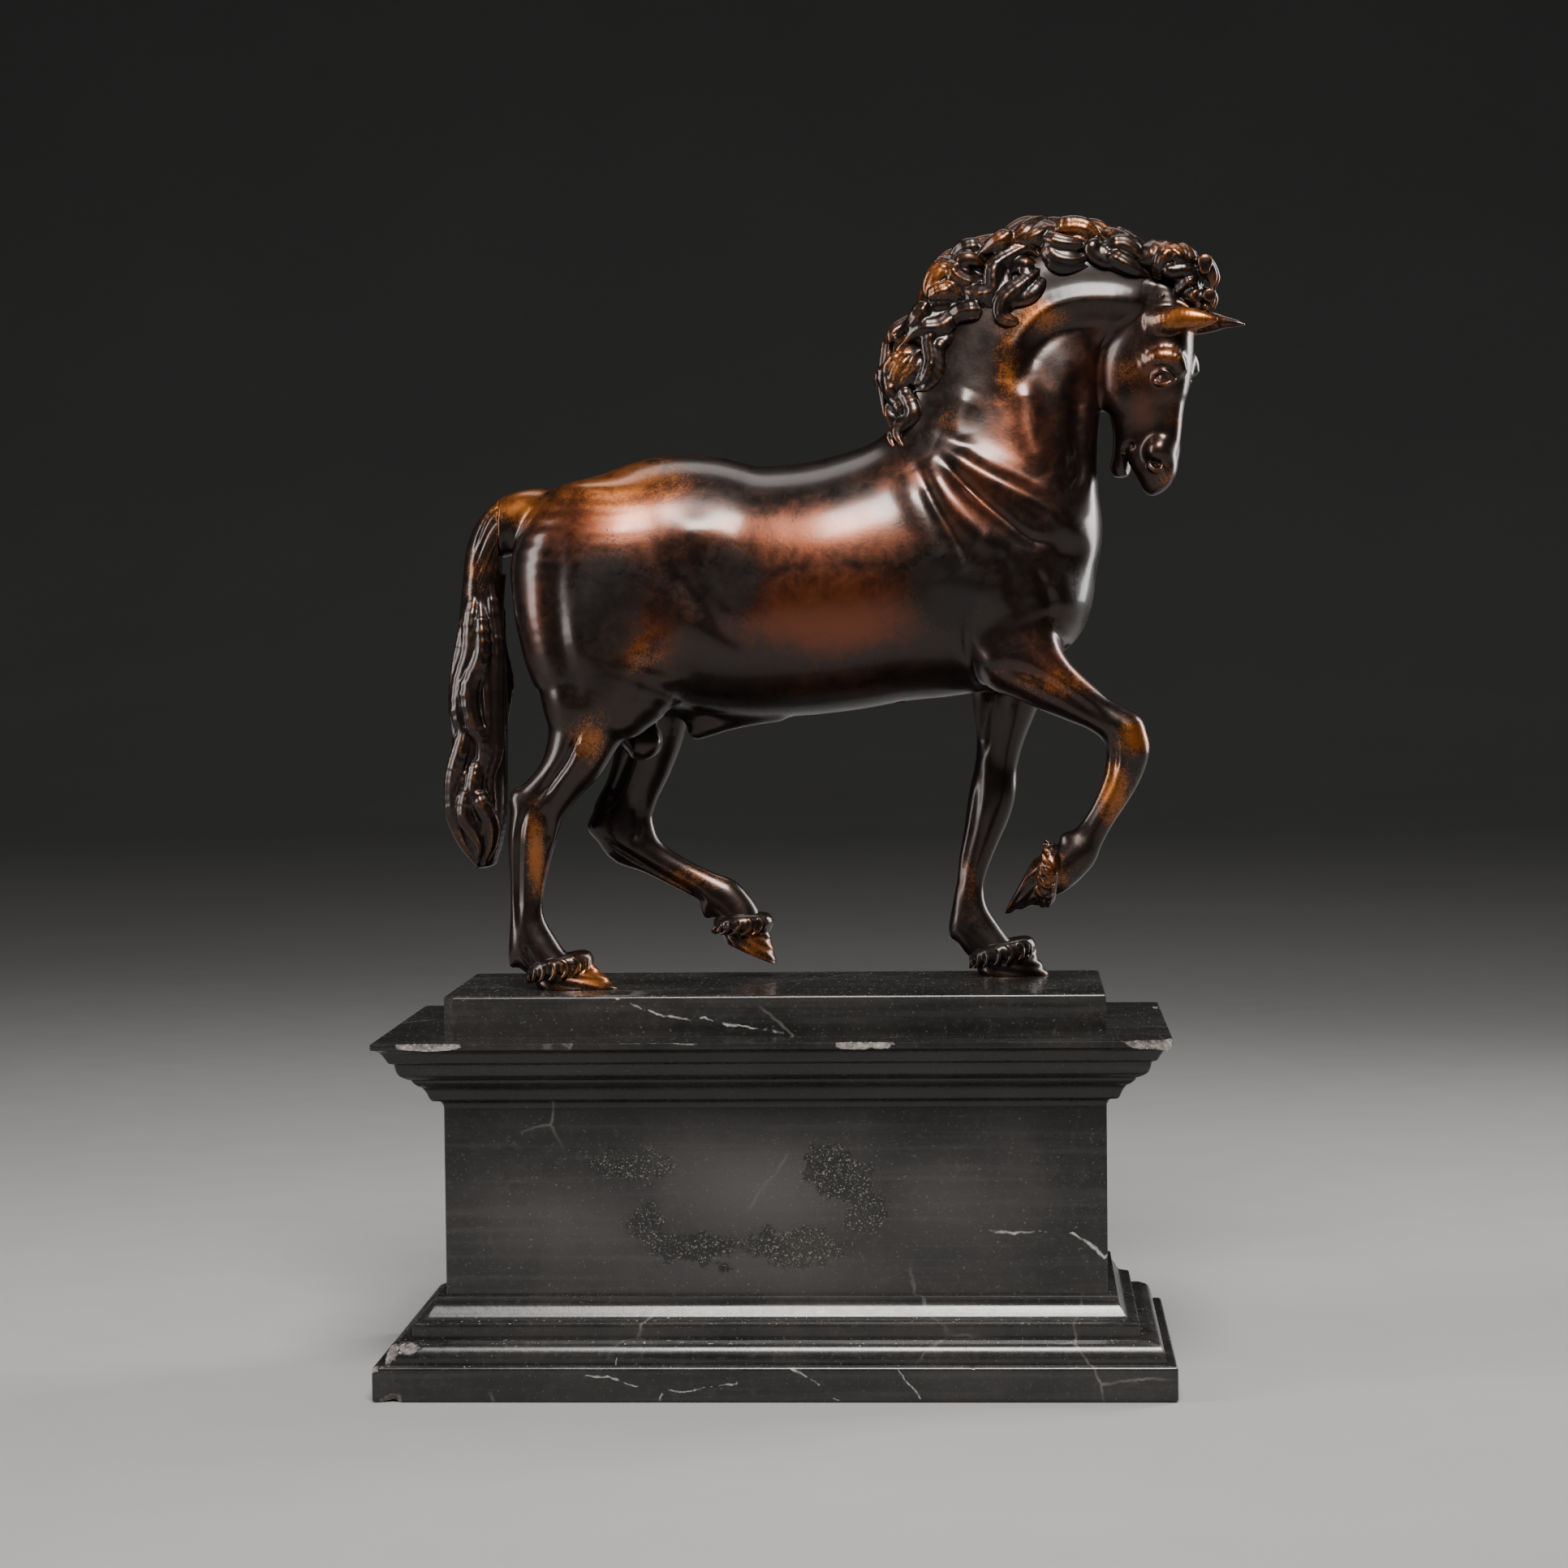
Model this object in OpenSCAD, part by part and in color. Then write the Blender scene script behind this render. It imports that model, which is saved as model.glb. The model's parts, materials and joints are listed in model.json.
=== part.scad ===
// Bronze pacing horse on a stepped marble pedestal.
// X runs along the horse, which faces +X. Y runs across it and Z is up.
// The origin is the middle of the underside of the pedestal. Millimetres.

/* [Pedestal] */
// Length of the plinth and of the die below it
die_length = 204; // [190:1:220]
// Depth of the plinth and of the die, front to back
die_depth = 79; // [74:1:90]
// Height of the plain die block
die_height = 58.1; // [45:0.1:75]
// Height of the thin plinth the hooves stand on
plinth_height = 12.5; // [10:0.5:16]
// Flat cut off the front left corner of the plinth
plinth_corner_cut = 4; // [1:0.5:8]
// Overhang of the cornice beyond the die, on each side
cornice_overhang = 19.7; // [16:0.1:22]
// Overhang of the bottom slab beyond the die, on each side
slab_overhang = 20.4; // [18.5:0.1:24]
// Height of the bottom slab
slab_height = 11.2; // [8:0.1:16]

/* [Horse] */
// Distance of the horse's mid plane behind the pedestal's
horse_offset = 4; // [0:0.5:8]
// Bronze wall left around the hollow of the casting
wall = 4.5; // [3.5:0.5:6]

/* [Fastenings] */
// Diameter of the two studs under the planted hooves
stud_d = 4; // [3:0.5:5]
// Diameter of the rod that clamps the pedestal together
tie_rod_d = 6; // [5:0.5:8]
// Diameter of the dowels across the bed joints
dowel_d = 5; // [4:0.5:7]
// Diameter of the tail's tenon
tenon_d = 7; // [6:0.5:8]
// Thickness of the felt let into the underside
felt_thickness = 1.5; // [1:0.5:2.5]

/* [Hidden] */
$fn = 32;

ovolo_height = 6.6;
base_height = 11.7;
bed_height = 9.7;
cap_height = 12.2;

z_ovolo = slab_height;
z_base = z_ovolo + ovolo_height;
z_die = z_base + base_height;
z_bed = z_die + die_height;
z_cap = z_bed + bed_height;
z_plinth = z_cap + cap_height;
z_top = z_plinth + plinth_height;

fit = 0.2;
near_y = -18;
far_y = 20;
hind_stud_x = -66;
fore_stud_x = 72;
seam_x = -87.5;
tenon_z = 145.2;
tenon_length = 8.5;
tail_pin_d = 2;
head_turn = -23;

stud_washer_d = 11;
stud_nut_d = 7.7;
stud_pocket = 6.5;
stud_washer_h = 1;
stud_nut_h = 3.2;
stud_grip = 8;
tie_washer_d = 18;
tie_nut_d = 11.5;
tie_washer_h = 1.6;
tie_nut_h = 5;
tie_pocket_d = 22;
tie_pocket = 8;
dowel_length = 14;
felt_margin = 6;
slab_edge = 0.8;

// Bed joints with dowels: height, and distance of each dowel from the middle.
DIE_JOINT = [z_die, die_length / 3];
BED_JOINT = [z_bed, die_length / 3];
CAP_JOINT = [z_cap, die_length / 4];
JOINTS = [DIE_JOINT, BED_JOINT, CAP_JOINT];

// Stations of the trunk: x, height above the plinth, half height, half width.
TRUNK = [
  [-74, 140, 14, 15], [-70, 138, 20, 20.5], [-62, 135, 26, 25.5], [-50, 132, 34, 29],
  [-38, 129.5, 38.8, 30], [-25, 127, 40.5, 30], [-10, 124.2, 39.9, 31], [5, 124.3, 39.8, 32.5],
  [20, 126, 40, 33], [35, 129, 40.5, 31.5], [50, 131, 41, 29.5], [64, 132, 40, 28],
  [76, 131, 36.5, 26.5], [86, 128, 30, 24], [94, 125, 22, 19], [98, 124, 14, 13], [99.5, 124, 5, 6]];

// Stations of the neck and limbs: x, y, height above the plinth, half depth, half width.
NECK = [
  [58, 0, 128, 34, 25], [64, 0, 146, 35, 24], [68, 0, 162, 33.5, 21], [70.5, 0, 176, 32, 18],
  [74, -0.5, 189, 30, 15], [80, -1, 201, 26.5, 12.5], [89, -1.5, 211, 21.5, 11],
  [99, -2, 216, 17.5, 10.5], [109, -3, 217, 14, 10], [116, -4, 215, 11, 9]];
NEAR_HIND = [
  [-54, -9, 152, 16, 13], [-56, -12, 136, 25, 16.5], [-56, -14, 123, 26.5, 17],
  [-54.5, -15, 110, 25.5, 16.5], [-52.5, -16, 98, 23, 14.5], [-56, -17, 88, 16.5, 11.5],
  [-59.5, -17.5, 80, 11.8, 9.3], [-63, -18, 72, 9.8, 7.6], [-68, -18, 64.5, 8.4, 6.2],
  [-74, -18, 56, 8.8, 6.2], [-76.5, -18, 48.5, 8.1, 5.8], [-77.6, -18, 40, 6.7, 4.5],
  [-78.3, -18, 31, 5.5, 3.9], [-78.5, -18, 23, 5.5, 4], [-77.8, -18, 17, 6.8, 5],
  [-76, -18, 11.5, 8, 5.8], [-72.5, -18, 7, 8, 6.2]];
FAR_HIND = [
  [-54, 9, 152, 16, 13], [-56, 12, 136, 25, 16.5], [-55, 14, 123, 26, 17], [-51, 15, 111, 25, 16.5],
  [-46, 16, 99, 21, 14.5], [-43, 17.5, 88, 15.5, 11.5], [-42.5, 18.5, 79, 11.5, 9.3],
  [-45, 19.5, 69, 9.7, 7.6], [-48.5, 20, 60, 9, 6.3], [-51.5, 20, 51.5, 10.2, 6.2],
  [-49, 20, 44.5, 9.2, 5.9], [-42, 20, 38.5, 5.9, 4.7], [-33, 20, 33.5, 5.2, 3.9],
  [-25, 20, 29.3, 5.4, 4], [-19.5, 20, 26, 6.6, 5], [-15.5, 20, 21.5, 6.8, 5.6],
  [-12.5, 20, 17.5, 7, 6]];
FAR_FORE = [
  [76, 12, 112, 15, 11], [74, 15, 99, 13, 10.5], [72, 18, 87, 10.6, 8.6], [70.5, 19.5, 76.5, 8, 7.2],
  [69.2, 20, 68, 7, 6.4], [68, 20, 59.5, 7.6, 6.4], [66.5, 20, 52.5, 7.2, 6],
  [64.2, 20, 45, 6, 4.9], [61.8, 20, 37, 5.1, 4], [60.4, 20, 30, 4.7, 3.8], [60, 20, 24, 5.3, 4.2],
  [60.8, 20, 18, 7, 5], [63.5, 20, 12.5, 7.8, 5.6], [68, 20, 8, 8, 6]];
NEAR_FORE = [
  [73, -13, 109, 16, 11], [79.5, -16, 101, 12.5, 10], [86.5, -17.5, 94.5, 9.3, 8],
  [94.5, -18, 88.8, 7.1, 6.8], [101.5, -18, 84.5, 5.9, 6], [107.5, -18, 80.5, 6.6, 6.4],
  [109.8, -18, 74.5, 6.9, 6.2], [109, -18, 68, 6.2, 5.6], [106, -18, 60.5, 5.2, 4.4],
  [102, -18, 53.5, 4.6, 3.9], [98, -18, 47, 4.9, 3.9], [94.5, -18, 42, 6.1, 4.7],
  [91, -18, 38, 6.9, 5.1], [87, -18, 35, 7.4, 5.8], [83.5, -18, 33, 7, 6]];

SHOULDER = [
  [52, 12, 162, 6, 5], [60, 13.5, 150, 13, 9.5], [70, 15, 134, 16, 11.5], [77, 15.5, 120, 15, 11.5],
  [80, 14.5, 108, 9, 8]];

// The head, in its own frame: forward, sideways, height, half depth, half width.
HEAD = [
  [2, 0, 215, 10, 8], [1.5, 0, 208, 13, 9.5], [-0.5, 0, 200, 14.8, 10.5], [-1.2, 0, 193, 14.9, 10.5],
  [-1.8, 0, 186, 14.2, 9.2], [-1.2, 0, 180, 12.6, 8], [0, 0, 173, 10.6, 6.6],
  [0, 0, 166.5, 9.6, 6.2], [0.3, 0, 161, 8.6, 6.8], [1.5, 0, 156.5, 6.2, 6], [2, 0, 153, 2.5, 3.5]];
HEAD_AT = [118, -4, 0];

CREST = [
  [41, 0, 172, 3, 5], [39, 0, 184, 4, 8], [41, 0, 197, 5, 9], [48, 0, 212, 5.5, 9.5],
  [56, 0, 223, 6, 9.5], [67, -0.5, 229.5, 6, 9.5], [81, -1, 234, 6, 9.5], [96, -2, 233, 6, 9],
  [108, -3, 229.5, 6, 9], [119, -4, 226, 6, 8]];
// Locks of the mane, near side: each is a chain of x, y, height, half depth, half width.
NEAR_LOCKS = [
  [[40, -7, 199, 4, 4], [40, -11, 189, 4.5, 4], [45, -14, 181, 4, 3.5], [40, -17, 174, 2.5, 2.5],
   [40, -18, 169, 1.2, 1]],
  [[47, -8, 207, 5, 4], [44, -12, 199, 5, 4], [49, -14, 192, 5, 3.5], [49, -15, 187, 3, 2]],
  [[54, -8, 218, 5, 4], [52, -12, 210, 5, 4], [56, -13, 204, 4, 3], [54, -14, 201, 2, 2]],
  [[62, -8, 226, 5, 4], [58, -12, 219, 5, 4], [64, -12, 213, 4.5, 3], [68, -12, 213, 2, 2]],
  [[72, -8, 231, 5, 4], [72, -12, 223, 5.5, 4], [78, -12, 216, 5, 3.5], [76, -12, 210, 3, 2.5],
   [75, -12, 208, 1.5, 1.2]],
  [[83, -8, 233, 4.5, 4], [84, -12, 228, 4.5, 3.5], [90, -12, 226, 3.5, 3], [96, -12, 227, 2, 2]],
  [[96, -9, 234, 4.5, 4], [101, -12, 229, 4, 3.5], [107, -13, 226.5, 3, 3], [112, -13, 227, 1.5, 2]],
  [[108, -10, 231, 4.5, 4], [113, -13, 226, 4, 3.5], [117, -14, 221, 2.5, 2.5], [119, -14, 217, 1.2, 1.2]]];
FAR_LOCKS = [
  [[40, 7, 197, 4, 4], [38, 11, 187, 4.5, 4], [42, 14, 179, 4, 3.5], [38, 17, 173, 2, 2]],
  [[50, 7, 212, 5, 4], [47, 11, 203, 5, 4], [51, 14, 195, 4, 3]],
  [[60, 7, 224, 5, 4], [57, 10, 215, 5, 4], [61, 13, 208, 4, 3]],
  [[74, 7, 230, 5, 4], [72, 10, 222, 5.5, 4], [76, 12, 215, 4, 3]],
  [[90, 6, 233, 5, 4], [92, 9, 227, 5, 3.5], [97, 10, 222, 3, 2.5]],
  [[106, 5, 231, 4.5, 4], [110, 7, 225, 4, 3.5], [114, 7, 220, 3, 2.5]]];
FORELOCK = [
  [[117, -6, 227, 6, 6], [124, -8, 227, 6, 6.5], [131, -8, 224, 5, 5.5], [136, -9, 219, 2.5, 3]],
  [[119, -9, 222, 4, 5], [125, -11, 218.5, 4, 4], [131, -10, 217, 3.5, 3.5], [134.5, -9, 212, 1.8, 2]]];

// Sole heel, sole toe, coronet back and coronet front of each hoof: x and height.
NEAR_HIND_HOOF = [[-75.5, 0], [-50, 0], [-77, 5.5], [-59.5, 9]];
FAR_FORE_HOOF = [[63, 0], [85.5, 0], [61.5, 6], [79.5, 9.5]];
FAR_HIND_HOOF = [[-19, 11.5], [-2, 3.7], [-20.5, 17], [-5, 17.5]];
NEAR_FORE_HOOF = [[80.8, 40], [71, 22.4], [86, 42], [83.5, 26.5]];

// Stations of the dock, through the seam, and of the tail below it.
DOCK = [
  [-56, 0, 136, 10, 10], [-66, 0, 144, 10.5, 9], [-73, 0, 147.5, 10, 8], [-79, 0, 148.3, 9, 7],
  [-85, 0, 146.4, 8.6, 7], [-90.5, 0, 142.8, 8.5, 7.2]];
TAIL = [
  [-94.5, 0, 136, 8.2, 8], [-96, 0, 126, 7.6, 8],
  [-96, 0, 112, 8, 8], [-96, 0, 98, 8.7, 8.5], [-96, 0, 84, 9.6, 9], [-97, 0, 70, 10.4, 9.5],
  [-97.8, 0, 57, 10.8, 10], [-97, 0, 46, 9.4, 9], [-96, 0, 38, 6, 6], [-95.5, 0, 34.5, 2, 2]];
TAIL_LOCKS = [
  [[-101, -4, 110, 2.6, 3], [-101.5, -6, 90, 3, 3.5], [-104, -6, 72, 3.2, 3.5],
   [-105.5, -4, 56, 3, 3], [-102, -3, 42, 1.5, 2]],
  [[-95, -7, 118, 2.6, 2.5], [-96, -8, 98, 3, 3], [-92, -8.5, 80, 3.2, 3], [-97, -9, 64, 3, 3],
   [-94, -7, 46, 2, 2]],
  [[-90, -5, 110, 2.6, 3], [-90, -6, 90, 3, 3.5], [-91, -7, 72, 3, 3.5], [-90, -7, 54, 2.6, 3],
   [-92, -4, 40, 1.5, 2]],
  [[-101, 4, 110, 2.6, 3], [-101.5, 6, 88, 3, 3.5], [-103.5, 6, 70, 3.2, 3.5],
   [-104, 5, 54, 3, 3], [-101, 3, 41, 1.5, 2]],
  [[-92, 5, 112, 2.6, 3], [-92, 7, 92, 3, 3.5], [-95, 8, 74, 3.2, 3.5], [-92, 7.5, 56, 2.8, 3],
   [-93, 4, 40, 1.5, 2]]];

// Core holes through the wall: position and direction of each plug.
PLUGS = [
  [[-59, near_y - 5.5, 75], [90, 0, 0]], [[2, 0, 87.7], [0, 0, 0]],
  [[38, 0, 92], [0, 0, 0]], [[12, 29.5, 126], [-90, 0, 0]], [[68, 24.5, 138], [-90, 0, 0]]];
plug_d = 5;
plug_length = 7;

// Profiles of the pedestal blocks: projection beyond the die, height above the block's bed.
CAP = [[9.2, 0], [10.5, 0.6], [12, 1.6], [12.8, 3.1], [13.3, 5.2], [14.9, 5.8], [17.3, 9.4],
       [19.2, 10.2], [cornice_overhang, 10.4], [cornice_overhang, cap_height]];
BED = [[0, 0], [0.2, 0.9], [1.2, 2.2], [3.3, 2.5], [3.9, 3.3], [4.8, 5.4], [6, 7], [6.8, 7.4],
       [8, 8.4], [8.7, 9.5], [8.7, bed_height]];
BASE = [[9.4, 0], [9.4, 3.9], [8.9, 4.4], [5.7, 5.6], [4.7, 7.2], [3.6, 8.9], [3.1, 10.5],
        [3.1, base_height]];
OVOLO = [[17, 0], [16.9, 2], [16.3, 3.9], [15.2, 5.4], [13.6, 6.2], [12.7, ovolo_height]];
SLAB = [[slab_overhang - slab_edge, 0], [slab_overhang, slab_edge],
        [slab_overhang, slab_height - slab_edge], [slab_overhang - slab_edge, slab_height]];

// A tube through elliptical stations, each square to the run of the chain in side view.
module limb(rows, sides) {
  last = len(rows) - 1;
  function run(i) =
    let (a = rows[max(i - 1, 0)], b = rows[min(i + 1, last)], d = [b[0] - a[0], b[2] - a[2]]) d / norm(d);
  points = [for (i = [0:last], k = [0:sides - 1])
    let (r = rows[i], d = run(i), c = r[3] * cos(360 * k / sides), s = r[4] * sin(360 * k / sides))
    [r[0] - d[1] * c, r[1] + s, r[2] + d[0] * c]];
  skin = [for (i = [0:last - 1], k = [0:sides - 1])
    let (n = (k + 1) % sides)
    each [[i * sides + k, i * sides + n, (i + 1) * sides + n],
          [i * sides + k, (i + 1) * sides + n, (i + 1) * sides + k]]];
  first_cap = [for (k = [sides - 1:-1:0]) k];
  last_cap = [for (k = [0:sides - 1]) last * sides + k];
  polyhedron(points, concat(skin, [first_cap, last_cap]), convexity = 8);
}

// The trunk's stations as a chain that runs along X.
function trunk_rows(inset) = [for (r = TRUNK) [r[0], 0, r[1], r[2] - inset, r[3] - inset]];
function thinned(rows, inset) = [for (r = rows) [r[0], r[1], r[2], r[3] - inset, r[4] - inset]];
function part_of(rows, from, to) = [for (i = [from:to]) rows[i]];

// One hoof: a long sole drawn up to the rounded coronet.
module hoof(points, y) {
  heel = points[0];
  toe = points[1];
  back = points[2];
  front = points[3];
  along = (toe - heel) / norm(toe - heel);
  tilt = atan2(along[1], along[0]);
  top = (front - back) / norm(front - back);
  hull() {
    translate([heel[0] + along[0] * 7.5, y, heel[1] + along[1] * 7.5])
      rotate([0, -tilt, 0]) scale([1, 1.05, 1]) cylinder(r = 7.5, h = 0.6, $fn = 18);
    translate([toe[0] - along[0] * 2.6, y, toe[1] - along[1] * 2.6])
      rotate([0, -tilt, 0]) cylinder(r = 2.6, h = 0.5, $fn = 12);
    translate([(back[0] + front[0]) / 2, y, (back[1] + front[1]) / 2])
      rotate([0, -atan2(top[1], top[0]), 0])
        scale([norm(front - back) / 2 / 7, 1, 1]) cylinder(r = 7, h = 0.8, center = true, $fn = 18);
  }
  // Curls of hair that hang over the coronet.
  for (k = [0:2], side = [-1, 1]) {
    t = 0.2 + 0.3 * k;
    spot = back + (front - back) * t;
    out = sqrt(max(0.05, 1 - pow(2 * t - 1, 2))) * 6.6;
    drop = (heel + (toe - heel) * t - spot) * 0.35;
    hull() {
      translate([spot[0], y + side * (out - 0.4), spot[1] + 1]) sphere(r = 1.7, $fn = 5);
      translate([spot[0] + drop[0], y + side * (out + 0.5), spot[1] + drop[1]]) sphere(r = 1, $fn = 4);
    }
  }
}

module spur(x, y, z, dx, dz) {
  hull() {
    translate([x, y, z]) sphere(r = 3.4, $fn = 10);
    translate([x + dx, y, z + dz]) sphere(r = 1.3, $fn = 8);
  }
}

module head() {
  translate(HEAD_AT) rotate([0, 0, head_turn]) difference() {
    union() {
      limb(HEAD, 18);
      hull() {
        translate([-9.4, 0, 160]) sphere(r = 2.6, $fn = 12);
        translate([-7, 0, 170]) sphere(r = 4, $fn = 12);
      }
      for (s = [-1, 1]) {
        translate([-7, s * 4.6, 187]) scale([1, 0.62, 1.12]) sphere(r = 8.5, $fn = 12);
        hull() {
          translate([5, s * 8.4, 195]) sphere(r = 2.8, $fn = 8);
          translate([10, s * 7, 193.5]) sphere(r = 2.4, $fn = 8);
        }
        translate([6.2, s * 8.2, 188.6]) sphere(r = 2.6, $fn = 12);
        hull() {
          translate([6, s * 6.5, 207]) sphere(r = 3.6, $fn = 10);
          translate([14, s * 8, 207.5]) sphere(r = 3.4, $fn = 10);
          translate([26, s * 7, 206.6]) sphere(r = 0.7, $fn = 8);
        }
        translate([3.5, s * 4, 162]) sphere(r = 3.9, $fn = 12);
      }
    }
    for (s = [-1, 1])
      hull() {
        translate([3.6, s * 7.6, 163]) sphere(r = 1.7, $fn = 8);
        translate([4.6, s * 7.4, 160.6]) sphere(r = 1.2, $fn = 8);
      }
    // The open mouth, between the upper lip and the chin.
    hull() {
      translate([-4.6, 0, 163.5]) rotate([90, 0, 0]) cylinder(r = 1, h = 30, center = true, $fn = 12);
      translate([-4.6, 0, 152]) rotate([90, 0, 0]) cylinder(r = 2.2, h = 30, center = true, $fn = 12);
    }
  }
}

module hollow() {
  limb(part_of(trunk_rows(wall), 3, 14), 16);
  limb(part_of(thinned(NECK, wall), 0, 6), 12);
  limb(part_of(thinned(NEAR_HIND, wall), 1, 7), 10);
  limb(part_of(thinned(FAR_HIND, wall), 1, 6), 10);
}

module horse_casting() {
  color("SaddleBrown") translate([0, horse_offset, z_top]) difference() {
    union() {
      limb(trunk_rows(0), 24);
      limb(NECK, 20);
      limb(NEAR_HIND, 13);
      limb(FAR_HIND, 13);
      limb(FAR_FORE, 13);
      limb(NEAR_FORE, 13);
      limb(CREST, 10);
      for (lock = concat(NEAR_LOCKS, FAR_LOCKS, FORELOCK)) limb(lock, 6);
      head();
      hoof(NEAR_HIND_HOOF, near_y);
      hoof(FAR_HIND_HOOF, far_y);
      hoof(FAR_FORE_HOOF, far_y);
      hoof(NEAR_FORE_HOOF, near_y);
      spur(-80.5, near_y, 13, -3.5, -6);
      spur(-23, far_y, 24.5, -1, -4.8);
      spur(57.5, far_y, 17, -3, -4.5);
      spur(92, near_y, 44.5, -2.6, 2);
      for (s = [-1, 1]) limb([for (r = SHOULDER) [r[0], s * r[1], r[2], r[3], r[4]]], 10);
      // Dock of the tail, cut square where the tail joins it.
      intersection() {
        limb(concat(DOCK, [TAIL[0]]), 18);
        translate([seam_x, -20, 120]) cube([60, 40, 60]);
      }
      hull() {
        translate([-12, 0, 88]) sphere(r = 5, $fn = 12);
        translate([-26, 0, 80.5]) sphere(r = 3, $fn = 12);
        translate([-34, 0, 90]) sphere(r = 7, $fn = 12);
      }
      hull() {
        for (s = [-1, 1]) translate([-43, s * 2.6, 76.5]) sphere(r = 5.8, $fn = 12);
        translate([-42, 0, 97]) sphere(r = 5, $fn = 12);
      }
      translate([105, -10, 226.6]) sphere(r = 4, $fn = 12);
    }
    hollow();
    for (p = PLUGS) translate(p[0]) rotate(p[1])
      cylinder(d = plug_d + 2 * fit, h = 3 * plug_length, center = true, $fn = 24);
    for (at = [[hind_stud_x, near_y, -1], [fore_stud_x, far_y, -1]])
      translate(at) cylinder(d = stud_d + 2 * fit, h = stud_grip + 1.5, $fn = 24);
    translate([seam_x - 1, 0, tenon_z]) rotate([0, 90, 0])
      cylinder(d = tenon_d + 2 * fit, h = tenon_length + 2.5, $fn = 24);
    tail_pin_hole();
  }
}

module tail_pin_hole() {
  translate([seam_x + 5, 0, tenon_z]) rotate([90, 0, 0])
    cylinder(d = tail_pin_d + 2 * fit, h = 40, center = true, $fn = 16);
}

module tail_casting() {
  color("Peru") translate([0, horse_offset, z_top]) difference() {
    union() {
      intersection() {
        union() {
          limb(concat(part_of(DOCK, 3, 5), TAIL), 18);
          for (lock = TAIL_LOCKS) limb(lock, 7);
        }
        translate([seam_x - 40, -30, 0]) cube([40, 60, 200]);
      }
      translate([seam_x - 4, 0, tenon_z]) rotate([0, 90, 0])
        cylinder(d = tenon_d, h = tenon_length + 4, $fn = 24);
      // Raised ends of the strands at the tip.
      for (k = [-2:2])
        hull() {
          translate([-96 + 2.6 * k, 3 - abs(k), 45]) sphere(r = 2.4, $fn = 8);
          translate([-95.5 + 1.2 * k, 0, 36]) sphere(r = 1.4, $fn = 8);
        }
      for (s = [-1, 1], x = [-99, -93])
        hull() {
          translate([x, s * 6, 128]) sphere(r = 2.2, $fn = 8);
          translate([x - 1, s * 6.5, 106]) sphere(r = 2.2, $fn = 8);
        }
    }
    tail_pin_hole();
  }
}

module tail_pin() {
  color("Goldenrod") translate([seam_x + 5, horse_offset, z_top + tenon_z])
    rotate([90, 0, 0]) cylinder(d = tail_pin_d, h = 13, center = true);
}

module core_plugs() {
  color("DarkKhaki") translate([0, horse_offset, z_top])
    for (p = PLUGS) translate(p[0]) rotate(p[1]) cylinder(d = plug_d, h = plug_length, center = true);
}

module stud(x, y) {
  translate([x, horse_offset + y, z_plinth + 0.6]) cylinder(d = stud_d, h = plinth_height + stud_grip - 0.6);
}

module fore_stud() {
  color("DimGray") stud(fore_stud_x, far_y);
}

module hind_stud() {
  color("DimGray") stud(hind_stud_x, near_y);
}

module at_studs() {
  translate([hind_stud_x, horse_offset + near_y, 0]) children();
  translate([fore_stud_x, horse_offset + far_y, 0]) children();
}

module stud_washers() {
  color("Silver") at_studs() translate([0, 0, z_plinth + stud_pocket - stud_washer_h]) difference() {
    cylinder(d = stud_washer_d, h = stud_washer_h);
    translate([0, 0, -1]) cylinder(d = stud_d + 2 * fit, h = stud_washer_h + 2);
  }
}

module stud_nuts() {
  color("Gray") at_studs()
    translate([0, 0, z_plinth + stud_pocket - stud_washer_h - stud_nut_h]) difference() {
      cylinder(d = stud_nut_d, h = stud_nut_h, $fn = 6);
      translate([0, 0, -1]) cylinder(d = stud_d, h = stud_nut_h + 2);
    }
}

// A block whose four sides carry one profile, mitred at the corners.
module moulded_block(profile) {
  top = profile[len(profile) - 1];
  half_length = die_length / 2;
  half_depth = die_depth / 2;
  intersection() {
    rotate([90, 0, 0]) linear_extrude(height = 2 * (half_depth + 40), center = true)
      polygon(concat([for (p = profile) [half_length + p[0], p[1]]],
                     [for (i = [len(profile) - 1:-1:0]) [-half_length - profile[i][0], profile[i][1]]]));
    rotate([90, 0, 90]) linear_extrude(height = 2 * (half_length + 40), center = true)
      polygon(concat([for (p = profile) [half_depth + p[0], p[1]]],
                     [for (i = [len(profile) - 1:-1:0]) [-half_depth - profile[i][0], profile[i][1]]]));
  }
}

module tie_hole() {
  translate([0, 0, -1]) cylinder(d = tie_rod_d + 1, h = 200);
}

module dowel_sockets(joint) {
  for (side = [-1, 1]) translate([side * joint[1], 0, joint[0] - dowel_length / 2 - 0.5])
    cylinder(d = dowel_d + 2 * fit, h = dowel_length + 1);
}

module plinth_block() {
  color("DarkSlateGray") difference() {
    translate([0, 0, z_plinth]) linear_extrude(height = plinth_height)
      difference() {
        square([die_length, die_depth], center = true);
        translate([-die_length / 2, -die_depth / 2]) rotate(45)
          square([plinth_corner_cut * 1.4, plinth_corner_cut * 1.4], center = true);
        for (s = [-1, 1]) translate([s * die_length / 2, die_depth / 2]) rotate(45)
          square([2, 2], center = true);
      }
    at_studs() {
      translate([0, 0, z_plinth - 1]) cylinder(d = stud_d + 2 * fit, h = plinth_height + 2);
      translate([0, 0, z_plinth - 1]) cylinder(d = stud_washer_d + 2, h = stud_pocket + 1);
    }
  }
}

module cornice_cap() {
  color("DarkSlateGray") difference() {
    translate([0, 0, z_cap]) moulded_block(CAP);
    tie_hole();
    translate([0, 0, z_plinth - tie_pocket]) cylinder(d = tie_pocket_d, h = tie_pocket + 1);
    dowel_sockets(CAP_JOINT);
  }
}

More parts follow.
